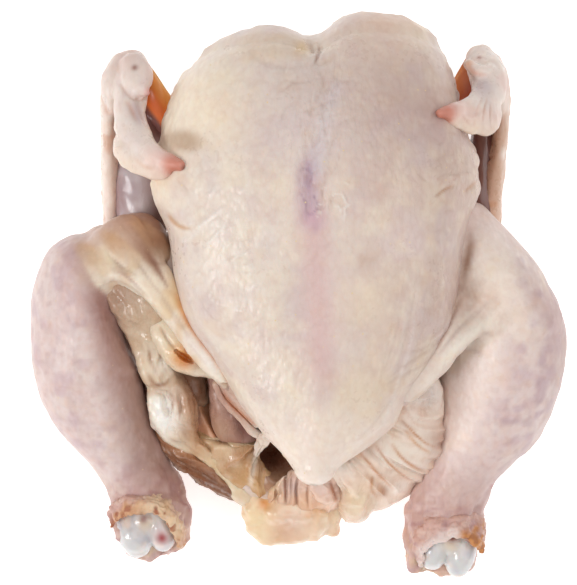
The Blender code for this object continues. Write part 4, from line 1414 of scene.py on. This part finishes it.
edge_film = film([
    [
        (-76.3, -33.5, 48), (-74.9, -45.6, 47), (-70.7, -59.1, 47), (-63.9, -66.6, 45), (-55.1, -72.2, 43),
        (-45.4, -81.6, 39), (-30, -95, 31),
    ],
    [
        (-79.1, -36, 41), (-77.6, -47.8, 42), (-72.9, -63.3, 43), (-65.9, -71.7, 42.5),
        (-56.5, -78.3, 42.5), (-45.9, -87.3, 38), (-30, -96.9, 30),
    ],
    border,
], 84, 1.6, 7, 1.0, 0.6)
# Its brown is partly its own and partly painted shade under the rim, darkest at the upper end.
soft_piece(
    "skin_edge", [edge_film], (134, 86, 58), loose_skin,
    tints=(((84, 40, 34), (-77.9, -45.4, 38), 12, 0.9), ((178, 128, 94), (-67.2, -67, 44), 10, 0.6)),
    clouds=(((196, 152, 122), 4, 0.6), ((112, 70, 52), 3, 0.4)),
    lines=(
        ((206, 184, 168), border, 1.1),
        # Painted shade: a dark line in its crease.
        ((92, 56, 42), ((-70.2, -70.8), (-62.9, -77.6), (-53.8, -82.6), (-42.9, -89)), 0.9),
        ((182, 130, 94), ((-71.1, -63.5), (-64.7, -70.8), (-55.7, -76.2), (-45.7, -83.5)), 1.6),
    ),
    crepe=0.6, bumps=((3, 0.5), (1.6, 0.3)),
    creases=((((-70.2, -70.8), (-62.9, -77.6), (-53.8, -82.6), (-42.9, -89)), 0.8, 0.9),),
)

# ---------------------------------------------------------------------------------------------------------
# Inside the opening: the end of the belly muscle, a pale cut edge with its lining, tan film stretched from
# the rim to the keel, a white wisp, and the fringe along the keel. The dark way into the bird beside is
# painted shade on the frame.

raw_meat = flesh_material("raw_meat", roughness=0.26, coat=0.2, bumps=0.3, mottle=1.2, wet=1.0, lean=0.9)
tongue = rings((
    (-44.6, -35.4, 50, 4.5, 8), (-41.3, -45.6, 49, 8, 9), (-37.2, -54, 46, 11, 9),
    (-33.6, -61.4, 42, 12, 8), (-30.9, -68, 37, 10, 7),
), 80, 60)
soft_piece(
    "belly_meat",
    [strands(tongue, 3, 1.6, 1.0)],
    (178, 130, 114), raw_meat,
    tints=(
        ((142, 90, 88), (-32.9, -60.5, 50), 8, 0.9),
        ((128, 80, 80), (-37.9, -55.9, 54), 4, 0.8),
        ((190, 156, 142), (-44.8, -49.5, 56), 7, 0.8),
        ((186, 148, 124), (-43.6, -63.3, 50), 9, 0.9),
    ),
    clouds=(((164, 116, 108), 5, 0.6), ((206, 172, 156), 4, 0.4)),
    crepe=0.4, bumps=((6, 0.7), (2.5, 0.3)),
)
cut_edge = rings((
    (-45.1, -42.2, 62, 1.6, 2), (-42.4, -48.2, 60, 1.8, 2.4), (-37.8, -53.2, 59, 2, 2.6),
    (-32.8, -58.3, 58, 2, 2.6), (-28.2, -63.4, 57, 2.2, 2.6), (-23.1, -66.6, 57, 1.8, 2),
), 80, 24)
lining = film([
    [(-46, -40.4, 62), (-40.3, -41, 68), (-33.8, -43.4, 72)],
    [(-40.5, -48.6, 60), (-34.9, -48.8, 66), (-29.3, -50.7, 72)],
    [(-34.1, -55.1, 60), (-28.9, -54.7, 66), (-23.8, -57.1, 72)],
    [(-26.8, -62.5, 59), (-22.1, -61.6, 66), (-17.9, -63.5, 72)],
], 60, 2, 5, 0.3)
soft_piece(
    "belly_lining", [strands(cut_edge, 6, 1.2, 0.4), lining], (216, 186, 168), fat,
    tints=(((186, 146, 130), (-44.2, -49.6, 60), 7, 0.8), ((234, 218, 204), (-26.8, -64.3, 58), 5, 0.7),),
    clouds=(((206, 170, 150), 5, 0.6),),
    lines=(
        ((196, 118, 74), ((-41.8, -46, 63), (-37.7, -51.9, 63), (-32.2, -57, 62), (-26.7, -60.7, 62)), 1.0),
    ),
    crepe=0.2,
)
tan_film = film([
    [(-54.3, -62.3, 40), (-48.5, -67, 44), (-41.9, -69.9, 47), (-33.4, -69.9, 48), (-24.1, -68.9, 47)],
    [(-52.4, -70.8, 40), (-45.7, -75.5, 43), (-39.1, -77.3, 45), (-32.1, -77.3, 46), (-25.1, -75, 45)],
    [(-46.8, -79.3, 39), (-40.2, -83, 41), (-33.6, -84.9, 42), (-27.5, -83.9, 42), (-21.9, -81.1, 41)],
    [(-38.4, -87.8, 36), (-32.8, -91.6, 36), (-27.1, -93.5, 36), (-20.5, -92.5, 37), (-13.9, -87.8, 38)],
], 72, 2.2, 6, 1.8, 0.7, 3.0)
soft_piece(
    "tan_film", [tan_film], (204, 160, 116), fat,
    tints=(
        ((226, 200, 170), (-42.8, -74.5, 46), 9, 0.6), ((206, 160, 104), (-29.9, -88.7, 40), 9, 0.6),
        # The last tint here is painted shade: darker brown beside the way into the bird.
        ((186, 134, 90), (-38.2, -80.2, 44), 6, 0.6), ((142, 94, 58), (-23.2, -76.4, 46), 6, 0.8),
    ),
    clouds=(((184, 132, 88), 6, 0.6), ((230, 206, 170), 5, 0.5)),
    lines=(((236, 216, 196), ((-26.5, -72.7, 47), (-28.4, -82, 44), (-29.8, -90.5, 41)), 1.3),),
    crepe=0.45, bumps=((7, 0.9), (3, 0.5)),
)
wisp = rings((
    (-20.2, -64.4, 68, 2.6, 0.8), (-23.1, -67.6, 61, 2.8, 0.8), (-25.5, -70.8, 54, 2, 0.8),
    (-26.9, -74.5, 48, 1, 0.6),
), 60, 24)
soft_piece("white_wisp", [strands(wisp, 5, 1.6, 0.5)], (226, 206, 190), wet_film, bumps=((3, 0.4),))

# The keel's free edge: a narrow cream fringe of skin and fat where the belly was cut away from the breast.
fringe = film([
    [
        (-26.5, -54.5, 80), (-20.1, -60.8, 80), (-14.7, -68.1, 80), (-8.4, -75.3, 80), (-3.9, -80.7, 80),
        (2.4, -82.5, 79),
    ],
    [
        (-25.6, -58.1, 76), (-20.6, -64, 75), (-14.7, -70.8, 75), (-9.3, -78, 75), (-5.2, -83, 75),
        (2, -84.8, 75),
    ],
    [
        (-24.8, -60.3, 70), (-19.8, -66.2, 69), (-14.3, -72.6, 68), (-9.3, -79.5, 68), (-5.2, -85, 68),
        (1.6, -86.3, 69),
    ],
], 60, 2.0, 12, 0.4, 0.3)
soft_piece(
    "keel_fringe", [fringe], (234, 218, 202), breast_skin,
    tints=(((232, 200, 154), (-13.8, -76.2, 72), 6, 0.6), ((224, 190, 150), (-21.1, -67.1, 72), 3, 0.6)),
    bumps=((3, 0.5), (1.6, 0.3)), crepe=0.3,
)

# ---------------------------------------------------------------------------------------------------------
# The vent and the tail: soft pleats of pink and grey skin under the tip of the keel, and below them the
# thick, glossy, yellowish tail, which is lumps of fat under skin, cast as one.

vent = film([
    [(-20.5, -90.5, 40), (-14.4, -84.3, 47), (-7.4, -80.1, 53), (0.9, -79.1, 54), (10.3, -81, 50)],
    [(-21.4, -93.9, 37), (-14.8, -89.1, 43), (-7.4, -86.2, 48), (1.5, -86.2, 49), (11.3, -87.6, 46)],
    [(-21.5, -95.4, 34), (-14.4, -93.4, 39), (-7.3, -92.9, 41), (2, -92.4, 43), (12.3, -93.3, 41)],
    [(-21.5, -101.2, 29), (-13.9, -101.6, 32), (-6.8, -102.1, 33), (2.1, -101.6, 34), (12.5, -100.2, 33)],
], 96, 3.5, 11, 1.3, 0.12, 1.0)
vent_lump = rings(((-0.9, -87.6, 50, 3, 4), (2.9, -89.9, 48, 5, 5), (5.7, -93.3, 44, 4, 5)), 40, 36)
soft_piece(
    "vent_pleats", [vent, strands(vent_lump, 3, 1.5, 0.8)], (240, 202, 178), wet_film,
    tints=(
        ((226, 190, 150), (-20.5, -89.6, 42), 8, 0.8),
        ((202, 176, 172), (-10.2, -89.5, 48), 5, 0.8),
        ((238, 214, 206), (2.8, -89.4, 50), 6, 0.9),
        ((232, 184, 146), (-2.7, -97.1, 40), 8, 0.7),
    ),
    lines=(
        # Painted shade: dark lines in the gaps between the pleats, here and in the last line.
        ((132, 84, 78), ((-13, -82), (-13.4, -90.4), (-13, -96.9)), 0.7),
        ((150, 104, 96), ((-7.4, -84.8), (-8.3, -91.3), (-7.8, -97.9)), 0.6),
        ((168, 100, 66), ((7.1, -85.7), (8.5, -90.4), (10.8, -96)), 0.9),
        ((192, 136, 104), ((-2.7, -86.7), (-3.2, -92.3), (-2.7, -97.9)), 0.6),
    ),
    creases=(
        (((-13, -81.1), (-13.4, -89.5), (-13, -97.9)), 0.7, 1.6),
        (((-7.4, -83.9), (-8.3, -90.4), (-7.8, -98.8)), 0.7, 1.4),
        (((-10.6, -82), (-10.6, -89.5), (-10.6, -96)), 0.6, 0.8),
        (((-2.7, -85.7), (-3.2, -92.3), (-2.7, -98.8)), 0.6, 0.8),
        (((-18.6, -86.7), (-17.6, -93.2), (-15.8, -98.8)), 0.6, 0.7),
    ),
    clouds=(((204, 160, 140), 4, 0.4),),
    crepe=0.15, bumps=((4, 0.35), (2, 0.2)),
)
tail_grids = [
    rings((
        (-10.1, -94.1, 27, 20, 9), (-10.1, -99.9, 27, 20, 9), (-10.1, -105.6, 26, 19.5, 8.5),
        (-9.2, -110.9, 24, 18, 7),
    ), 70, 70, 2.5, 0.7),
    rings(((-25.3, -96.9, 31, 5, 5), (-27.2, -101.7, 29, 6, 6), (-25.4, -107, 26, 7, 6)), 40, 36),
    rings(((7.9, -93.1, 30, 4, 5), (9.3, -100.8, 27, 3.4, 5), (8.9, -109.5, 24, 3.4, 5)), 50, 36),
    rings(((-19.6, -102.5, 34, 4, 3.5), (-12, -100.6, 35, 6, 4), (-3.5, -102.5, 34, 5, 4)), 40, 30),
    rings(((-0.7, -97.8, 34, 4, 4), (1.2, -104.5, 32, 5, 4), (0.3, -111.3, 27, 4, 4)), 40, 30),
]
soft_piece(
    "tail",
    [strands(grid, 4, 1.7, 1.0, i) for i, grid in enumerate(tail_grids)],
    (240, 210, 182), wet_film,
    tints=(
        ((246, 220, 176), (-28.1, -103.4, 34), 9, 0.8),
        ((246, 224, 184), (-24.4, -112.6, 30), 8, 0.7),
        ((230, 170, 104), (-22.4, -97.7, 37), 4, 0.8),
        ((224, 146, 72), (-23.3, -97.2, 37), 2.2, 0.9),
        ((236, 214, 198), (-10.1, -106.3, 34), 6, 0.8),
        ((218, 166, 132), (-13.9, -110.1, 32), 8, 0.6),
        ((238, 218, 184), (8.8, -103.5, 32), 6, 0.7),
        ((214, 158, 106), (2.1, -99.6, 36), 6, 0.5),
    ),
    clouds=(((250, 234, 212), 4, 0.6), ((224, 168, 120), 4.6, 0.55)),
    crepe=0.1, voxel=0.9, softening=3, bumps=((6, 0.9), (2.6, 0.4)),
)

# ---------------------------------------------------------------------------------------------------------
# The right flap: the loose skin of the belly, pleated and shining, gathered under the right side of the
# breast. A pleated film over a tube of plain skin, with a lump at the tail and froth at the knee.

flap_skin = flesh_material("flap_skin", roughness=0.24, coat=0.35, bumps=0.2, wet=1.0, lean=0.8)
flap_rows = [
    [(44.1, -36.7, 60), (50.7, -37.5, 58), (56.6, -39.2, 52), (61, -41.7, 42)],
    [(40.3, -45.9, 62), (47.8, -48.6, 60), (55.2, -51.3, 52), (61.6, -54.8, 40)],
    [(35.7, -53.3, 62), (44.1, -58.8, 60), (53.8, -64.3, 52), (61.3, -68, 38)],
    [(31.1, -60.7, 62), (40.5, -68, 58), (50.3, -74.5, 48), (58.8, -79.3, 34)],
    [(25.7, -66.2, 60), (34.2, -74.5, 56), (43.1, -82, 44), (50.5, -87, 30)],
    [(20.2, -69.9, 58), (27.8, -79.1, 54), (34.9, -87.7, 40), (40.3, -93.2, 26)],
    [(14.8, -73.6, 56), (21.4, -82.9, 52), (26.5, -92.5, 38), (30.9, -98, 24)],
    [(10.2, -77.3, 54), (14.9, -85.7, 50), (19.1, -95.4, 36), (22.3, -104.8, 22)],
    [(5.6, -80.1, 52), (8.5, -87.6, 48), (11.6, -96.3, 34), (11.8, -104.8, 22)],
]
flap = film(list(zip(*flap_rows)), 160, 5, 22, 2.0, 0.12, 2.0)
under_flap = rings((
    (54, -39.6, 34, 8, 10), (50.3, -50.9, 33, 13, 14), (44.8, -63.2, 31, 17, 16), (36.3, -74.6, 29, 19, 15),
    (27.9, -83.2, 27, 18, 14), (19.4, -89.9, 25, 14, 13), (13.7, -93.7, 24, 10, 10),
), 90, 70)
lump = rings(((17.1, -85.9, 38, 8, 8), (19.6, -92.6, 34, 9, 9), (19.3, -98.4, 29, 8, 8)), 50, 50)
froth = rings(((52.8, -40.2, 54, 5, 6), (53.8, -46.6, 52, 6, 6), (53.1, -53.1, 49, 5, 6)), 50, 40)
soft_piece(
    "right_flap",
    [
        flap, strands(under_flap, 8, 1.5, 1.0, 2.4),
        strands(lump, 5, 1.7, 1.2), strands(froth, 8, 2, 0.7),
    ],
    (246, 226, 210), flap_skin,
    tints=(
        ((228, 220, 214), (53.1, -47.6, 56), 8, 0.8),
        # Painted shade in the gap between the flap and the right leg.
        ((176, 132, 114), (57.1, -68, 44), 7, 0.8),
        ((178, 116, 72), (31.2, -91.5, 38), 3, 0.9),
        ((234, 210, 168), (19.1, -95.4, 36), 9, 0.7),
        ((240, 228, 214), (40.5, -68, 58), 12, 0.5),
        ((214, 170, 130), (24.3, -84.8, 46), 7, 0.5),
        ((206, 158, 116), (12.4, -96.2, 38), 5, 0.6),
    ),
    clouds=(((226, 184, 152), 5, 0.5), ((248, 236, 224), 8, 0.6)),
    crepe=0.3, voxel=0.9, softening=2, bumps=((7, 0.5), (2.6, 0.2)),
    lines=(
        ((200, 136, 88), ((35.6, -69.9), (39.7, -75.4), (46.2, -80.1), (51.8, -82.4)), 0.7),
        ((204, 144, 98), ((27.7, -69.9), (34.2, -78.2), (40.7, -83.8), (45.3, -86.5)), 0.6),
        ((204, 144, 98), ((39.7, -58.7), (45.3, -64.3), (50.8, -68.9), (55.5, -70.8)), 0.6),
        ((200, 136, 88), ((21.3, -73.6), (27.7, -81.4), (33.3, -87), (37, -90.7)), 0.7),
        ((214, 164, 122), ((41.6, -63.4), (47.1, -69.9), (53.6, -73.6)), 0.7),
        ((196, 134, 84), ((26.8, -83.8), (26.8, -90.2), (29.6, -94.9)), 0.9),
    ),
)

# ---------------------------------------------------------------------------------------------------------
# The knuckles of the leg bones, where the feet were cut off: bluish-white, slippery cartilage in pairs, with
# a red spot of marrow in one of the left pair. They stand in for the plain leg bones.

gristle = flesh_material("gristle", roughness=0.16, coat=0.8, bumps=0.25, mottle=0.5, soft=0.3, wet=1.0)
knuckle_offset = {"left": -1.2, "right": 2.4}
knuckles = {
    "left": ((1, 7.2, 8.4, 0), (-1, 6.0, 7.8, 1.2)),
    "right": ((-1, 6.4, 8.0, 0), (1, 6.4, 8.0, 0.5)),
}
for side in sides:
    end, along, across, up = leg_axes(side)
    tip = end - along * (3.2 if side == "left" else 2.6) + up * 6 - across * knuckle_offset[side]
    grids = [rings([
        (*(tip - along * back - up * sink), width, width)
        for back, sink, width in ((40, 5, 4), (28, 3, 4.5), (14, 1, 6), (6, 0, 8))
    ], 40, 30)]
    for hand_way, radius, tall, lift in knuckles[side]:
        centre = tip + across * 6.4 * hand_way
        grids.append(rings([
            (*(centre + along * onward + up * (drop + lift)), wide, deep)
            for onward, drop, wide, deep in (
                (-8, -1, radius, 6.5), (0, 0, radius + 0.6, tall), (4, -2, radius, 7.5),
            )
        ], 40, 44))
    mesh = fused("knuckles_" + side, grids, 0.6, 5)
    points, normals = vertices(mesh)
    points += normals * (0.35 * billow(points, 6) + 0.12 * billow(points, 2.5, 1.4))[:, None]
    moved(mesh, points)
    paint = Paint(points, (216, 214, 213))
    paint.cloud((190, 189, 198), 6, 1.1, 0.7)
    paint.cloud((234, 214, 198), 5, 4.4, 0.7)
    paint.lay((226, 186, 160), smoothstep(13, 20, np.linalg.norm(points - tip, axis=1)))
    if side == "left":
        marrow = tip - across * 6.4 + along * 2 + up * 8
        paint.touch((222, 196, 192), marrow, 4.4, 0.8)
        paint.touch((168, 74, 78), marrow, 2.6)
    between = tip - along * 6 + up * 8
    paint.touch((226, 202, 172), between, 4.5, 0.7)
    paint.touch((134, 72, 60), between - along * 2.5, 2.0, 0.9)
    knuckle_pair = finished("knuckles_" + side, mesh, paint, gristle)
    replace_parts(knuckle_pair, "leg_bone_" + side)

# ---------------------------------------------------------------------------------------------------------
# The room: a pale floor, a soft key light from the left, a wide light overhead, a fill from the right, and a
# camera that looks down from almost straight above. Lights are placed in metres.

floor = bpy.data.objects.new("floor", bpy.data.meshes.new("floor"))
floor.data.from_pydata([(-5, -5, 0), (5, -5, 0), (5, 5, 0), (-5, 5, 0)], [], [(0, 1, 2, 3)])
bpy.context.scene.collection.objects.link(floor)
white = bpy.data.materials.new("white_paper")
white.use_nodes = True
white.node_tree.nodes["Principled BSDF"].inputs["Base Color"].default_value = (0.96, 0.96, 0.96, 1)
white.node_tree.nodes["Principled BSDF"].inputs["Roughness"].default_value = 0.9
white.node_tree.nodes["Principled BSDF"].inputs["Emission Color"].default_value = (1, 1, 1, 1)
white.node_tree.nodes["Principled BSDF"].inputs["Emission Strength"].default_value = 0.5
floor.data.materials.append(white)

from mathutils import Vector


def facing(obj, place, at):
    """Puts the object at the place, looking at a point."""
    obj.location = place
    obj.rotation_euler = (Vector(at) - Vector(place)).to_track_quat("-Z", "Y").to_euler()
    bpy.context.scene.collection.objects.link(obj)


for name, place, size, power in (
    ("key", (-1.7, -0.6, 1.5), 1.0, 19.5),
    ("overhead", (0.4, 0.2, 2.7), 2.2, 16.0),
    ("fill", (1.7, -0.5, 1.6), 2.0, 10.5),
):
    lamp = bpy.data.lights.new(name, "AREA")
    lamp.shape = "DISK"
    lamp.size = size
    lamp.energy = power
    facing(bpy.data.objects.new(name, lamp), place, (0, 0, 0.03))

world = bpy.data.worlds.new("studio")
world.use_nodes = True
world.node_tree.nodes["Background"].inputs["Color"].default_value = (1, 1, 1, 1)
world.node_tree.nodes["Background"].inputs["Strength"].default_value = 0.43
bpy.context.scene.world = world
bpy.context.scene.view_settings.view_transform = "Standard"

camera = bpy.data.cameras.new("camera")
camera.sensor_width = 36
camera.lens = 133.778
target = Vector((-11.8, 0, 60)) * unit
distance = 1000
elevation = np.radians(86)
eye = target + Vector((0, -np.cos(elevation), np.sin(elevation))) * distance * unit
camera_object = bpy.data.objects.new("camera", camera)
facing(camera_object, eye, target)
bpy.context.scene.camera = camera_object
